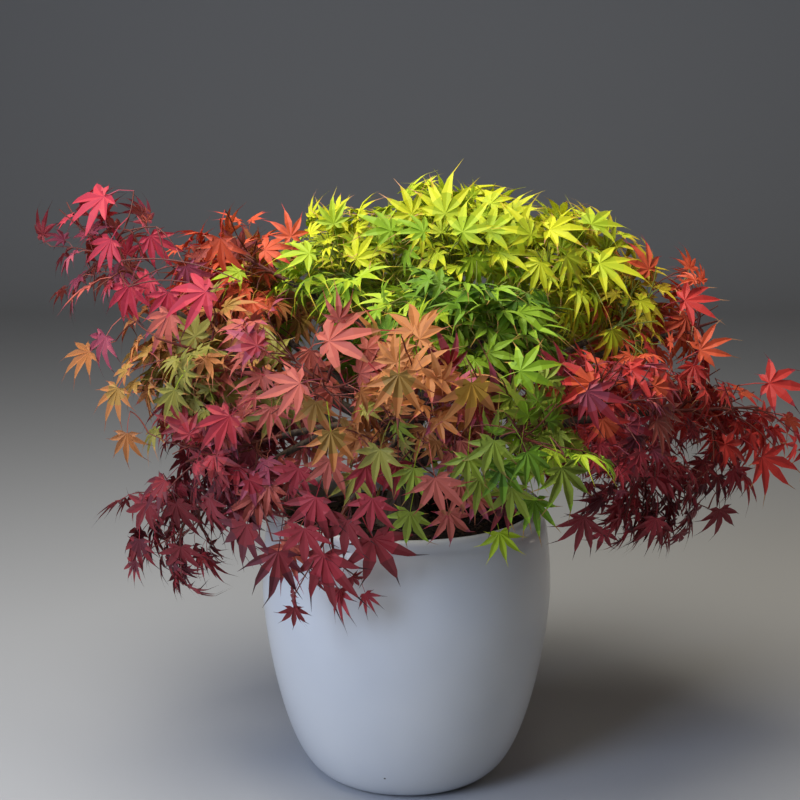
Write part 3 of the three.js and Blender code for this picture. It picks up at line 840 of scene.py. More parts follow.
def young_wood(name, colour):
    """Young maple wood of one summer: smooth and satin, too thin for a pattern to show."""
    constants = {"Base Color": linear(colour), "Roughness": 0.5, "Specular IOR Level": 0.4}
    return new_material("young_wood_" + name, constants)[0]


wood = {name: young_wood(name, colour) for name, colour in YOUNG_WOOD.items()}
tube_tree = tubes()


def spot_radius(name, share):
    """Radius of the trunk, or of a bough at a share of its length, with its collar left out."""
    if name == "trunk":
        return TRUNK_SPOT
    thick = by_name[name].thick
    return thick + (STEM_RADIUS - thick) * BOUGH_TAPER * share


limb_spots = []
for name, curve in curves.items():
    for k in range(int(curve.length / SPOT_STEP) + 1):
        share = min(k * SPOT_STEP / curve.length, 1)
        limb_spots.append((curve.point(share), spot_radius(name, share)))
near_limbs = KDTree(len(limb_spots))
for index, (point, _) in enumerate(limb_spots):
    near_limbs.insert(point, index)
near_limbs.balance()


def clears_limbs(points, start):
    """Whether points lie clear of trunk and boughs, apart from those near where they start."""
    for point in points:
        _, index, far = near_limbs.find(point)
        radius = limb_spots[index][1]
        if far < radius + LIMB_CLEAR and (point - start).length > radius + START_FREE:
            return False
    return True


def wood_kind(mass):
    """Green young wood where the middle of a mass is green or yellow, and red elsewhere."""
    return "green" if GREEN_WOOD & {mass.above[1], mass.below[1]} else "red"


def twig_limbs(mass, fine):
    """The stem, the side twigs and these fine twigs of a mass, with the radii of their ends."""
    limbs = [(twig_sets[mass.name]["stem"], STEM_RADIUS, TWIG_END)]
    limbs += [(curve, TWIG_RADIUS, TWIG_END) for curve in twig_sets[mass.name]["twigs"]]
    return limbs + [(curve, FINE_RADIUS, FINE_END) for curve in fine]


def young_piece(name, limbs, kind):
    """One piece of young wood, from the curves of its limbs and the radii of their ends."""
    return grown_by(tube_tree, curve_object("drawn_" + name, limbs), {"Wood": wood[kind]}, name)


twig_sets = {}
for mass in masses:
    stem = stem_curve(mass, curves[mass.name])
    side_twigs = twig_curves(mass, stem, draws(mass.seed))
    fine_draw = draws(mass.seed + FINE_SEED)
    fine, spare = [], []
    for twig in fine_curves(mass, stem, side_twigs, fine_draw):
        kept = next(fine_draw) < mass.full
        if clears_limbs([twig.point(0.5), twig.end], twig.start):
            (fine if kept else spare).append(twig)
    twig_sets[mass.name] = {"stem": stem, "twigs": side_twigs, "fine": fine, "spare": spare}

# The leaves. Each is hand-shaped, with seven narrow lobes that end in a thin tail, folded a
# little along their ribs, on a slim stalk. They stand in opposite pairs on the fine twigs, open
# near the top of the crown and drooping, with their lobes closer together, lower down.

# The form of a leaf, in lengths of its blade. Of each lobe: how far it is turned from the middle
# one, in radians, and how long it is.
LOBES = [(-2.2, 0.36), (-1.42, 0.68), (-0.7, 0.92), (0, 1), (0.7, 0.92), (1.42, 0.68), (2.2, 0.36)]
LOBE_POINTS = 9
LOBE_LONG = {"least": 0.9, "more": 0.2}
NOTCH = 0.27
OUTER_NOTCH = {"turn": 0.55, "share": 0.35}
NOTCH_LIFT = {"least": 0.02, "folded": 0.03}
WIDE = {"share": 0.46, "half": 0.125, "edge": 0.97}
NARROW = {"share": 0.74, "half": 0.066}
TAIL = {"share": 0.88, "half": 0.015, "end": 1.2}
SLIM = {"least": 0.6, "long": 0.4, "shut": 0.72, "open": 0.28}
FAN = {"least": 0.68, "more": 0.34}
FOLD = {"least": 0.2, "more": 0.55}
CURL = {"least": 0.1, "more": 0.5}
DROOP = {"least": 0.1, "more": 0.15, "open": 0.35}
NOD = {"least": 0.1, "more": 0.2, "open": 0.6}
CUP_VARIES = 0.3
LIFT_VARIES = 0.2
SWAY = {"varies": 0.3, "far": 0.3, "tail": 0.6, "tip": 1.4}
STALK_SHARE = 0.6
STALK_LONG = {"least": 0.75, "more": 0.5}
STALK_SAG = {"least": 0.05, "more": 0.05}
STALK_RADIUS = 0.011
STALK_UNDER = 0.004
STALK_RINGS = (0, 0.5, 1)
STALK_SIDES = 3
STALK_POINTS = len(STALK_RINGS) * STALK_SIDES
LEAF_SHAPES = 24

# How the leaves are set, in millimetres or in shares of a twig or a mass, and how they turn.
SPRAY_REACH = {"least": 0.6, "more": 0.38}
TIP_REACH = 1.2
ANY_REACH = 9
LEAF_MARGIN = -45
LEAF_SEATS = {"end": 0.98, "first": 0.35, "run": 0.6, "gap": 26, "ahead": 0.7}
LEAF_SIZE = {"least": 0.74, "more": 0.44}
LEAF_TRIES = 5
LEAF_SMALLER = 0.88
LEAF_APART = 17
BOX_SLACK = 8
POT_CLEAR = 2.5
FACE = {"out": 0.8, "own": 0.3, "up": 0.35, "varies": 0.6}
POINT = {"out": 0.5, "varies": 0.6}
HANG = {"under": 660, "over": 200, "least": -0.6, "most": 1.3}
MASS_HALF = 90
TINT = {"blur": 0.45, "varies": 0.5, "upper": -0.1}
SHAPE_SEED = 77
LEAF_SEED = 2000
CLEAR_SEED = 3000

# Where the crown is open: round a middle, within these half sizes, no leaf grows on the fine twigs; leaves
# that stand clear are not kept out.
OPENINGS = [
    ((20, -185, 384), (70, 85, 36)),
    ((112, -180, 390), (42, 75, 34)),
    ((478, -10, 610), (98, 160, 118)),
]

# Leaves that stand clear, most at the front of the crown and some that hang over the rim at the
# back, each on a thin twig of its own. By mass: the place of the palm, the way that the leaf
# points as seen from the front in degrees from the right, its length, and its tints.
CLEAR_LEAVES = {
    "crimson_tip_left": [
        ((-385, 20, 762), 190, 68, "cherry"), ((-375, 0, 710), 232, 58, "cherry"),
        ((-328, 20, 712), 305, 54, "cherry"), ((-350, -20, 655), 245, 58, "cherry"),
        ((-295, -60, 625), 232, 64, "rose"), ((-245, -100, 660), 195, 60, "cherry"),
        ((-326, -10, 662), 215, 50, "cherry"), ((-281, 0, 676), 300, 46, "rose"),
        ((-299, -40, 649), 250, 52, "cherry"),
    ],
    "scarlet_top_left": [
        ((-236, 0, 711), 262, 58, "flame"), ((-182, 20, 694), 30, 46, "flame"),
        ((-148, 20, 711), 94, 38, "flame"),
    ],
    "lime_top_left": [
        ((-92, -10, 731), 100, 38, "lime"), ((-122, -30, 697), 160, 44, "lime"),
    ],
    "yellow_top": [
        ((48, -25, 746), 92, 56, "sun"), ((102, -30, 724), 55, 52, "sun"),
        ((-20, -20, 724), 130, 50, "lime"), ((136, -30, 714), 70, 54, "sun"),
        ((116, -30, 698), 20, 54, "sun"), ((69, -40, 725), 60, 50, "sun"),
        ((21, -40, 725), 120, 46, "lime"), ((81, -50, 694), 300, 48, "lime"),
    ],
    "yellow_top_right": [
        ((155, -35, 721), 110, 50, "sun"), ((179, -20, 725), 28, 56, "sun"),
        ((241, -35, 685), 5, 62, "sun"), ((199, -40, 695), 330, 50, "sun"),
        ((166, -45, 688), 250, 48, "sun"), ((256, -60, 605), 290, 54, "gold"),
    ],
    "orange_right": [
        ((308, 0, 672), 105, 46, "flame"), ((352, -20, 635), 22, 54, "scarlet"),
        ((370, -40, 575), 35, 48, "flame"),
    ],
    "gold_right": [
        ((295, -20, 635), 352, 46, "gold"),
    ],
    "scarlet_right": [
        ((462, -30, 530), 8, 58, "scarlet"), ((455, -40, 436), 322, 66, "scarlet"),
        ((405, -50, 455), 350, 48, "scarlet"),
    ],
    "crimson_right_low": [
        ((400, -60, 372), 285, 46, "crimson"), ((310, -120, 378), 268, 50, "crimson"),
        ((212, -195, 402), 262, 54, "crimson"),
    ],
    "rose_front_right": [
        ((205, -262, 572), 318, 62, "ruby"), ((228, -225, 530), 300, 54, "scarlet"),
        ((79, -270, 450), 292, 44, "rose"), ((114, -255, 441), 250, 46, "crimson"),
    ],
    "rose_front_left": [
        ((-90, -250, 628), 28, 68, "rust"), ((-205, -250, 540), 212, 64, "ruby"),
        ((-120, -310, 592), 188, 56, "rose"), ((-85, -345, 545), 278, 56, "copper"),
        ((-127, -245, 476), 250, 56, "ruby"), ((-113, -205, 608), 250, 48, "rust"),
        ((-104, -285, 565), 255, 52, "bronze"),
    ],
    "bronze_front": [
        ((-10, -345, 610), 268, 62, "copper"), ((70, -345, 600), 284, 66, "copper"),
        ((30, -345, 492), 280, 58, "rust"), ((3, -262, 428), 258, 52, "fern"),
        ((48, -262, 428), 284, 50, "rose"), ((-40, -315, 460), 262, 54, "ruby"),
        ((-89, -270, 493), 262, 54, "rust"), ((-59, -262, 474), 242, 50, "olive"),
        ((-31, -320, 518), 250, 52, "olive"), ((-11, -300, 498), 270, 52, "ruby"),
        ((-47, -300, 494), 285, 50, "ruby"), ((7, -310, 494), 256, 46, "fern"),
        ((60, -290, 472), 285, 48, "rust"),
    ],
    "green_front_right": [
        ((125, -310, 606), 25, 52, "lime"), ((95, -345, 535), 248, 52, "fern"),
        ((132, -345, 522), 300, 48, "green"), ((172, -330, 500), 292, 62, "fern"),
        ((110, -212, 388), 284, 46, "lime"), ((82, -300, 480), 262, 50, "fern"),
        ((119, -290, 465), 264, 54, "fern"), ((146, -270, 445), 282, 50, "green"),
        ((106, -320, 499), 275, 54, "green"), ((125, -295, 502), 258, 50, "fern"),
        ((67, -330, 513), 265, 48, "fern"),
    ],
    "rose_left": [
        ((-360, -80, 535), 238, 50, "bronze"), ((-404, -20, 569), 200, 50, "bronze"),
        ((-381, -30, 591), 230, 48, "rose"),
    ],
    "crimson_left": [
        ((-350, -85, 478), 262, 46, "bronze"), ((-295, -150, 435), 218, 54, "crimson"),
        ((-322, -120, 398), 232, 52, "crimson"),
    ],
    "crimson_left_low": [
        ((-340, -80, 338), 262, 50, "crimson"), ((-285, -100, 334), 268, 50, "crimson"),
    ],
    "crimson_over_rim": [
        ((-190, -225, 402), 240, 64, "crimson"), ((-120, -262, 408), 262, 60, "ruby"),
        ((-70, -268, 420), 250, 60, "crimson"), ((-152, -242, 374), 262, 70, "crimson"),
        ((-98, -246, 372), 274, 78, "crimson"), ((-40, -246, 392), 298, 78, "crimson"),
        ((-106, -262, 446), 250, 66, "crimson"),
    ],
    "green_back": [
        ((-150, 226, 384), 255, 54, "rust"), ((-118, 242, 400), 268, 54, "bronze"),
        ((-76, 262, 386), 262, 54, "olive"), ((-32, 250, 404), 274, 54, "bronze"),
        ((8, 276, 388), 266, 54, "olive"), ((54, 256, 402), 262, 54, "fern"),
        ((96, 270, 388), 276, 54, "green"), ((138, 246, 400), 270, 54, "lime"),
        ((176, 226, 386), 284, 54, "fern"), ((-52, 226, 370), 258, 54, "rust"),
        ((30, 232, 372), 272, 54, "fern"), ((112, 228, 372), 280, 54, "green"),
        ((-100, 215, 352), 262, 54, "ruby"), ((70, 218, 350), 270, 54, "olive"),
    ],
}

# These leaves face whoever looks at the plant, from the front or, behind a line across the pot,
# from the back. The sprigs start at places along the side twigs, or at the ends of fine ones.
CLEAR_VIEW = Vector((0, -0.974, 0.225))
BACK_VIEW = Vector((0, 0.974, 0.225))
BACK_FROM = 120
CLEAR_LEAN = 0.3
SPRIG_STARTS = (0.4, 0.6, 0.8, 1)
CLEAR_FACE = {"view": 1, "out": 0.35, "up": 0.5, "varies": 0.35}
CLEAR_ROOM = 0.75
CLEAR_SAG = 0.15
CLEAR_STEP = 3
HANGS_BELOW = -0.3

# Plain leaf colours, then the sprays that are dealt out of them: the five colours of a leaf's
# middle, of its lobes, of their tips, of the tails of the tips, and of its stalk.
LEAF_COLOURS = {
    "wine": "#3d1219",
    "claret": "#65202a",
    "crimson": "#86262c",
    "ruby": "#a8303a",
    "cherry": "#c4384a",
    "scarlet": "#cc3a34",
    "flame": "#d95a35",
    "coral": "#bf5f50",
    "rose": "#a9485a",
    "apricot": "#cd9468",
    "bronze": "#bf7a42",
    # The next colour is a brighter copy of bronze: painted light for hanging front leaves that the lamps
    # leave in shade.
    "copper": "#dd8d4b",
    "amber": "#d9a236",
    "gold": "#d0ba28",
    "sun": "#d9dc26",
    "citron": "#c5d328",
    "lime": "#b0c826",
    "grass": "#8fb424",
    "green": "#70981e",
    "moss": "#527a1a",
    "fern": "#8a9a2e",
    "olive": "#8f8838",
    "russet": "#9a5836",
    "tan": "#b0863f",
}
SPRAYS = {
    "crimson": [
        "crimson crimson crimson wine claret",
        "claret crimson crimson wine ruby",
        "crimson claret claret wine claret",
        "ruby crimson crimson wine ruby",
    ],
    "ruby": [
        "ruby ruby ruby claret rose",
        "ruby ruby crimson wine ruby",
        "rose ruby ruby claret rose",
    ],
    "cherry": [
        "cherry cherry cherry ruby rose",
        "cherry cherry ruby claret cherry",
        "cherry cherry cherry claret rose",
    ],
    "scarlet": [
        "scarlet scarlet scarlet apricot ruby",
        "scarlet scarlet ruby claret scarlet",
        "flame scarlet scarlet ruby scarlet",
    ],
    "flame": [
        "flame flame flame apricot scarlet",
        "flame flame flame scarlet amber",
        "flame flame scarlet ruby flame",
    ],
    "rose": [
        "rose rose rose claret coral",
        "coral rose rose claret rose",
        "ruby rose rose claret rose",
        "coral coral coral ruby rose",
        "coral coral rose ruby coral",
    ],
    "rust": [
        "coral coral coral rose coral",
        "coral coral russet ruby coral",
    ],
    # Sprays of the brighter copy of bronze, painted light for hanging front leaves in shade.
    "copper": [
        "tan copper copper coral lime",
        "amber copper copper coral olive",
    ],
    "bronze": [
        "bronze bronze bronze russet coral",
        "bronze bronze coral russet bronze",
        "tan bronze bronze russet coral",
    ],
    "olive": [
        "olive olive olive russet olive",
        "olive olive tan bronze lime",
        "tan tan bronze russet olive",
        "olive olive olive tan fern",
    ],
    "gold": [
        "sun gold gold amber gold",
        "gold gold gold amber lime",
        "citron gold gold flame amber",
    ],
    "sun": [
        "citron sun sun gold lime",
        "lime citron sun sun lime",
        "sun sun gold apricot gold",
    ],
    "lime": [
        "lime lime lime sun lime",
        "grass lime lime gold lime",
        "lime lime citron gold grass",
        "grass grass lime tan grass",
    ],
    "fern": [
        "fern fern fern tan lime",
        "fern fern olive russet fern",
        "grass fern fern tan lime",
        "fern fern grass tan lime",
    ],
    "green": [
        "grass grass grass tan grass",
        "green green grass tan grass",
        "green green green grass green",
        "moss green green olive green",
    ],
}


def leaf_faces():
    """The faces of every leaf, and the part of the leaf that each belongs to: 0 its middle,
    1 its lobes, 2 their tips, 3 the thin tails of the tips, 4 its stalk."""
    faces, parts = [], []
    first = 2 + len(LOBES)
    for i in range(len(LOBES)):
        left, right = 1 + i, 2 + i
        rib, left_wide, right_wide, rib_far, left_far, right_far = range(first, first + 6)
        left_tail, right_tail, tip = range(first + 6, first + LOBE_POINTS)
        first += LOBE_POINTS
        faces += [(0, rib, left_wide, left), (0, right, right_wide, rib)]
        faces += [(rib, rib_far, left_far, left_wide), (rib, right_wide, right_far, rib_far)]
        faces += [(rib_far, left_tail, left_far), (rib_far, right_tail, left_tail)]
        faces += [(rib_far, right_far, right_tail), (left_tail, right_tail, tip)]
        parts += [0, 0, 1, 1, 2, 2, 2, 3]
    for low in (first, first + STALK_SIDES):
        high = low + STALK_SIDES
        for k in range(STALK_SIDES):
            after = (k + 1) % STALK_SIDES
            faces.append((low + k, low + after, high + after, high + k))
            parts.append(4)
    return faces, parts


def leaf_shape(openness, draw):
    """Points of a leaf with a blade of length 1: its stalk starts at the origin and runs along
    +X, and its upper side faces +Z. The less open it is, the closer its lobes hang together."""
    fan = FAN["least"] + FAN["more"] * openness
    fold = between(FOLD, draw)
    droop = DROOP["least"] + (DROOP["more"] + DROOP["open"] * openness) * next(draw)
    curl = between(CURL, draw)
    nod = NOD["least"] + (NOD["more"] + NOD["open"] * openness) * next(draw)
    cup = spread_of(draw, CUP_VARIES)
    stalk = STALK_SHARE * between(STALK_LONG, draw)

    def blade_point(turn, out, side, high):
        turn *= fan
        across = Vector((-math.sin(turn), math.cos(turn), 0))
        flat = Vector((math.cos(turn), math.sin(turn), 0)) * out + across * side
        flat.z = high - droop * out * out
        turned = Matrix.Rotation(nod, 3, "Y") @ flat
        return turned + Vector((stalk, 0, 0))

    points = [blade_point(0, 0, 0, 0)]
    edges = [LOBES[0][0] - OUTER_NOTCH["turn"]]
    edges += [(a[0] + b[0]) / 2 for a, b in zip(LOBES, LOBES[1:])]
    edges += [LOBES[-1][0] + OUTER_NOTCH["turn"]]
    for k, turn in enumerate(edges):
        out = NOTCH * (OUTER_NOTCH["share"] if k in (0, len(edges) - 1) else 1)
        points.append(blade_point(turn, out, 0, NOTCH_LIFT["least"] + NOTCH_LIFT["folded"] * fold))
    for turn, long in LOBES:
        long *= between(LOBE_LONG, draw)
        sway = spread_of(draw, SWAY["varies"])
        lift = spread_of(draw, LIFT_VARIES) + cup * abs(turn) / 2
        wide, far = WIDE["share"] * long, NARROW["share"] * long
        narrow = (SLIM["least"] + SLIM["long"] * long) * (SLIM["shut"] + SLIM["open"] * openness)
        half, thin = WIDE["half"] * narrow, NARROW["half"] * narrow
        points.append(blade_point(turn, wide, 0, lift * wide))
        for side in (-half, half):
            points.append(blade_point(turn, wide * WIDE["edge"], side, lift * wide + fold * half))
        bent = turn + sway * SWAY["far"]
        points.append(blade_point(bent, far, 0, lift * far))
        for side in (-thin, thin):
            points.append(blade_point(bent, far, side, lift * far + fold * thin))
        tail, end = TAIL["share"] * long, TAIL["end"] * long
        high = lift * tail
        for side in (-TAIL["half"], TAIL["half"]):
            points.append(blade_point(turn + sway * SWAY["tail"], tail, side, high))
        points.append(blade_point(turn + sway * SWAY["tip"], end, 0, high - curl * (end - tail)))
    sag = between(STALK_SAG, draw)
    for share in STALK_RINGS:
        centre = Vector((stalk * share, 0, sag * math.sin(math.pi * share) - STALK_UNDER))
        for k in range(STALK_SIDES):
            turn = 2 * math.pi * k / STALK_SIDES
            ring = Vector((0, math.cos(turn), math.sin(turn))) * STALK_RADIUS
            points.append(centre + ring)
    return np.array(points)


LEAF_FACES, LEAF_PARTS = leaf_faces()
shape_draw = draws(SHAPE_SEED)
leaf_shapes = [leaf_shape(k / (LEAF_SHAPES - 1), shape_draw) for k in range(LEAF_SHAPES)]
TIP_ROWS = [2 + len(LOBES) + LOBE_POINTS * i + LOBE_POINTS - 1 for i in range(len(LOBES))]


def any_way(draw):
    """A short way in any direction."""
    return Vector([spread_of(draw, 2) for _ in range(3)])


def leaf_axes(forward, face):
    """The axes of a leaf: X along its stalk, Z out of its upper side."""
    forward = forward.normalized()
    face = (face - forward * face.dot(forward)).normalized()
    return np.array(Matrix((forward, face.cross(forward), face)).transposed())


def leaf_ways(point, way, mass, draw):
    """Which way a leaf points and which way it faces, from where it grows."""
    out = (point - CROWN_HEART).normalized()
    own = (point - mass.middle) / MASS_HALF
    hang = min(max((HANG["under"] - point.z) / HANG["over"], HANG["least"]), HANG["most"])
    forward = way + out * POINT["out"] - UP * hang + any_way(draw) * POINT["varies"]
    face = out * FACE["out"] + own * FACE["own"] + UP * FACE["up"] + any_way(draw) * FACE["varies"]
    return forward, face


def in_crown(points, share):
    """Whether all the points lie within the reach of some mass, times share."""
    inside = np.zeros(len(points), bool)
    for mass in masses:
        off = (points - np.array(mass.middle)) / np.array(mass.reach)
        inside |= np.linalg.norm(off, axis=1) < share
    return bool(inside.all())


def in_box(points):
    """Whether all the points lie in the box of the solids, or no further past it than the slack."""
    low, high = (np.array(corner) / MM for corner in cad_box)
    return bool((points > low - BOX_SLACK).all() and (points < high + BOX_SLACK).all())


def in_opening(points):
    """Whether a leaf would reach into a place where the crown is open."""
    for middle, half in OPENINGS:
        if (np.linalg.norm((points - np.array(middle)) / np.array(half), axis=1) < 1).any():
            return True
    return False


class Palms:
    """The places of the palms set so far, kept in cells so that the near ones are found fast."""

    def __init__(self):
        self.cells = {}

    def cell(self, palm):
        return tuple(int(c // LEAF_APART) for c in palm)

    def add(self, palm):
        self.cells.setdefault(self.cell(palm), []).append(Vector(palm))

    def crowded(self, palm):
        """Whether another palm lies too near this one."""
        x, y, z = self.cell(palm)
        for i, j, k in itertools.product((-1, 0, 1), repeat=3):
            for other in self.cells.get((x + i, y + j, z + k), ()):
                if (Vector(palm) - other).length < LEAF_APART:
                    return True
        return False


palms = Palms()
clear_palms = []


def hides_clear(points):
    """Whether a leaf would hang in front of one that stands clear."""
    view = np.array(CLEAR_VIEW)
    for palm, blade in clear_palms:
        off = points - palm
        ahead = off @ view
        aside = np.linalg.norm(off - ahead[:, None] * view, axis=1)
        if ((ahead > 0) & (aside < CLEAR_ROOM * blade)).any():
            return True
    return False


def clears_pot(points):
    """Whether all the points lie outside the pot or above its rim."""
    radii = np.hypot(points[:, 0], points[:, 1])
    outside = np.array([pot_radius(max(z, 0)) + POT_CLEAR if z > 0 else 0 for z in points[:, 2]])
    over_soil = (points[:, 2] > POT_HEIGHT + POT_CLEAR) | (radii > outside)
    return bool(over_soil.all())


def leaf_material(name):
    """A maple leaf's skin: thin, satin, one plain colour of autumn."""
    constants = {
        "Base Color": linear(LEAF_COLOURS[name]),
        "Roughness": 0.55,
        "Specular IOR Level": 0.35,
        "Sheen Weight": 0.08,
    }
    return new_material("maple_leaf_" + name, constants)[0]


leaf_materials = {name: leaf_material(name) for name in LEAF_COLOURS}
colour_names = list(LEAF_COLOURS)


def any_of(choices, draw):
    """One of the choices, by chance."""
    return choices[int(next(draw) * len(choices))]


def spray_of(kind, draw):
    """The five colours of a spray of this kind."""
    return any_of(SPRAYS[kind], draw).split()


def spray_tint(point, draw):
    """The colours of a spray: those of the mass that it lies nearest, blurred by chance."""
    mass = min(masses, key=lambda m: m.in_reaches(point - m.middle).length + TINT["blur"] * next(draw))
    off = mass.in_reaches(point - mass.middle)
    row = mass.above if off.z + spread_of(draw, TINT["varies"]) > TINT["upper"] else mass.below
    place = (off.x + spread_of(draw, TINT["varies"]) + 1) / 2
    return spray_of(row[min(max(int(place * len(row)), 0), len(row) - 1)], draw)


def shape_for(forward, draw):
    """A drooping leaf where it points down, and an open one elsewhere."""
    half = LEAF_SHAPES // 2
    hangs = forward.normalized().z < HANGS_BELOW
    return any_of(leaf_shapes[:half] if hangs else leaf_shapes[half:], draw)


class Foliage:
    """The leaves of one mass, gathered to one mesh."""

    def __init__(self, mass):
        self.mass = mass
        self.points, self.faces, self.face_colours = [], [], []

    def add_leaf(self, points, colours):
        """Adds a leaf with the colours of its spray, one for each of its parts."""
        base = len(self.points) * len(points)
        self.points.append(points)
        self.faces += [tuple(i + base for i in face) for face in LEAF_FACES]
        self.face_colours += [colour_names.index(colours[part]) for part in LEAF_PARTS]
        palms.add(points[0])

    def piece(self):
        used = sorted(set(self.face_colours))
        materials = [leaf_materials[colour_names[i]] for i in used]
        rows = [used.index(i) for i in self.face_colours]
        points = np.concatenate(self.points)
        return new_piece("foliage_" + self.mass.name, points, self.faces, materials, rows, False)


def leaf_fits(points, mass, reach):
    """Whether a leaf has room where it would hang."""
    if palms.crowded(points[0]) or in_opening(points) or hides_clear(points):
        return False
    tips = points[TIP_ROWS]
    if not in_crown(points[:1], reach) or not in_crown(tips, TIP_REACH) or not in_box(tips):
        return False
    if not mass.holds(tips, ANY_REACH, LEAF_MARGIN) or not clears_pot(points):
        return False
    blade_points = [Vector(p) for p in points[1:-STALK_POINTS:2]]
    return clears_limbs(blade_points, Vector(points[-STALK_POINTS]))


def grow_leaf(foliage, seat, colours, reach, draw):
    """Hangs a leaf at its seat, a little smaller each time that it doesn't fit."""
    point, way = seat
    blade = foliage.mass.blade * between(LEAF_SIZE, draw)
    for _ in range(LEAF_TRIES):
        forward, face = leaf_ways(point, way, foliage.mass, draw)
        points = shape_for(forward, draw) @ leaf_axes(forward, face).T * blade + np.array(point)
        if leaf_fits(points, foliage.mass, reach):
            foliage.add_leaf(points, colours)
            return
        blade *= LEAF_SMALLER


def clear_leaf(foliage, place, clock, blade, kind, draw):
    """Sets a leaf that stands clear, and returns the foot of its stalk."""
    turn = math.radians(clock)
    view = BACK_VIEW if place[1] > BACK_FROM else CLEAR_VIEW
    forward = Vector((math.cos(turn), view.y * CLEAR_LEAN, math.sin(turn)))
    out = (Vector(place) - CROWN_HEART).normalized()
    face = view * CLEAR_FACE["view"] + out * CLEAR_FACE["out"] + UP * CLEAR_FACE["up"]
    axes = leaf_axes(forward, face + any_way(draw) * CLEAR_FACE["varies"])
    shape = shape_for(forward, draw)
    points = (shape - shape[0]) @ axes.T * blade + np.array(place)
    while not clears_pot(points):
        points += np.array(view) * CLEAR_STEP
    foliage.add_leaf(points, spray_of(kind, draw))
    if view is CLEAR_VIEW:
        clear_palms.append((points[0], blade))
    return Vector(points[-STALK_POINTS:][:STALK_SIDES].mean(axis=0))


def spray_seats(curve, draw):
    """Seats of the leaves on a fine twig: the end leaf, a pair by it, and opposite pairs."""
    pairs = int(curve.length * (1 - LEAF_SEATS["first"]) / LEAF_SEATS["gap"])
    turn = next(draw) * math.pi
    shares = [LEAF_SEATS["end"]]
    shares += [LEAF_SEATS["first"] + LEAF_SEATS["run"] * k / pairs for k in range(pairs)]
    seats = [(curve.point(1), curve.tangent(1))]
    for share in shares:
        turn += math.pi / 2
        along = curve.tangent(share)
        for side in (0, math.pi):
            way = (across_from(along, turn + side) + along * LEAF_SEATS["ahead"]).normalized()
            seats.append((curve.point(share), way))
    return seats


def sprig_to(foot, limbs):
    """A thin bowed twig to the foot of a stalk, from the nearest place, and what it grows from."""
    starts = [(limb.point(share), limb) for limb in limbs["twigs"] for share in SPRIG_STARTS]
    starts += [(limb.end, limb) for limb in limbs["fine"] + limbs["spare"]]
    start, carrier = min(starts, key=lambda seat: (seat[0] - foot).length)
    middle = start.lerp(foot, 0.5) + UP * CLEAR_SAG * (foot - start).length
    return Bow(start, middle, foot), carrier


foliages = {mass.name: Foliage(mass) for mass in masses}
clear_draw = draws(CLEAR_SEED)
sprig_limbs = {kind: [] for kind in wood}
bearers = []
for name, leaves in CLEAR_LEAVES.items():
    for leaf in leaves:
        foot = clear_leaf(foliages[name], *leaf, clear_draw)
        sprig, carrier = sprig_to(foot, twig_sets[name])
        bearers.append(carrier)
        sprig_limbs[wood_kind(by_name[name])].append((sprig, FINE_RADIUS, FINE_END))
for kind, limbs in sprig_limbs.items():
    sprigs = young_piece("sprigs_" + kind, limbs, kind)
    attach(sprigs, "root")

for mass in masses:
    foliage = foliages[mass.name]
    draw = draws(mass.seed + LEAF_SEED)
    # A fine twig that bears no leaf in the end is left out, unless a sprig grows from it.
    leafy = [curve for curve in twig_sets[mass.name]["spare"] if curve in bearers]
    for curve in twig_sets[mass.name]["fine"]:
        before = len(foliage.points)
        colours = spray_tint(curve.end, draw)
        reach = between(SPRAY_REACH, draw)
        for seat in spray_seats(curve, draw):
            grow_leaf(foliage, seat, colours, reach, draw)
        if len(foliage.points) > before or curve in bearers:
            leafy.append(curve)
    twigs = young_piece("twigs_" + mass.name, twig_limbs(mass, leafy), wood_kind(mass))
    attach(twigs, "root")
    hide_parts("leaves_" + mass.name)
    leaves = foliage.piece()
    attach(leaves, "root")
    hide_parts("leaves_" + mass.name)

# The stage: a plain pale floor that runs up behind the plant, and soft studio light, cool from
# the left and dim and warm from the right.
FLOOR_COLOUR = "#babcbf"
FLOOR_HALF = 6
WALL_AT = 4.6
WALL_HIGH = 5
SWEEP_RADIUS = 1.2
SWEEP_STEPS = 16
ROOM_COLOUR = "#eee4d6"
ROOM_STRENGTH = 0.03

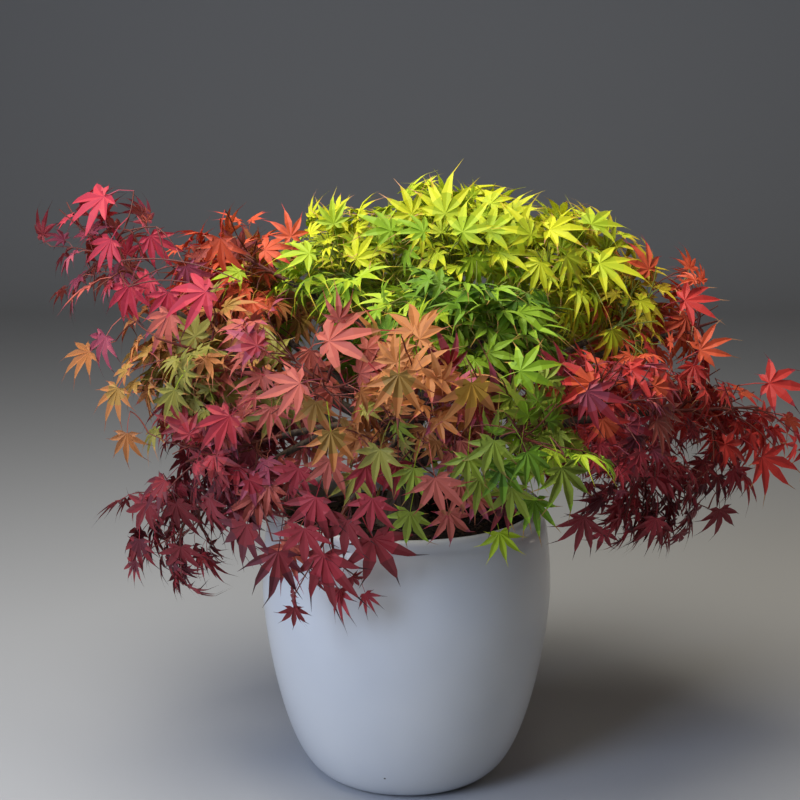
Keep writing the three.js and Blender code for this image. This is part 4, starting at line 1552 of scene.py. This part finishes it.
# The lights: where each stands and what it is aimed at, its two sides, all in metres, its power
# in watts and its colour.
LIGHTS = {
    "soft_left": ((-1.5, -1.75, 1.5), (0, 0, 0.5), (0.9, 1.5), 36, "#d2e1ff"),
    "sky_above": ((-0.42, -0.3, 2.2), (0, 0, 0.6), (1.4, 1.4), 40, "#fff8e8"),
    "edge_right": ((1.7, 0.75, 0.8), (0, 0, 0.3), (0.12, 1.2), 2.5, "#ffeede"),
    "strip_left": ((-1.9, -0.7, 0.7), (0, 0, 0.3), (0.16, 1.3), 3.5, "#d6e3ff"),
}


def backdrop():
    """A sheet of matt pale paint: flat under the plant, and a cove up to a wall behind it."""
    profile = [(-FLOOR_HALF, 0), (WALL_AT - SWEEP_RADIUS, 0)]
    for step in range(1, SWEEP_STEPS + 1):
        turn = math.pi / 2 * step / SWEEP_STEPS
        y = WALL_AT - SWEEP_RADIUS + SWEEP_RADIUS * math.sin(turn)
        profile.append((y, SWEEP_RADIUS * (1 - math.cos(turn))))
    profile.append((WALL_AT, WALL_HIGH))
    points, faces = [], []
    for y, z in profile:
        points += [(-FLOOR_HALF / MM, y / MM, z / MM), (FLOOR_HALF / MM, y / MM, z / MM)]
    for k in range(len(profile) - 1):
        faces.append((2 * k, 2 * k + 1, 2 * k + 3, 2 * k + 2))
    paint = {"Base Color": linear(FLOOR_COLOUR), "Roughness": 0.9, "Specular IOR Level": 0.2}
    return new_piece("studio_floor", points, faces, [new_material("matt_floor", paint)[0]])


def soft_light(name, place, aim, size, power, colour):
    """A flat soft light that faces its aim."""
    data = bpy.data.lights.new(name, "AREA")
    data.shape = "RECTANGLE"
    data.size, data.size_y = size
    data.energy = power
    data.color = linear(colour)[:3]
    light = bpy.data.objects.new(name, data)
    light.location = place
    light.rotation_euler = (Vector(aim) - Vector(place)).to_track_quat("-Z", "Y").to_euler()
    bpy.context.scene.collection.objects.link(light)


backdrop()
for name, light in LIGHTS.items():
    soft_light(name, *light)

world = bpy.data.worlds.new("soft_room")
world.use_nodes = True
glow = world.node_tree.nodes["Background"]
glow.inputs["Color"].default_value = linear(ROOM_COLOUR)
glow.inputs["Strength"].default_value = ROOM_STRENGTH
bpy.context.scene.world = world
bpy.context.scene.view_settings.view_transform = "Standard"
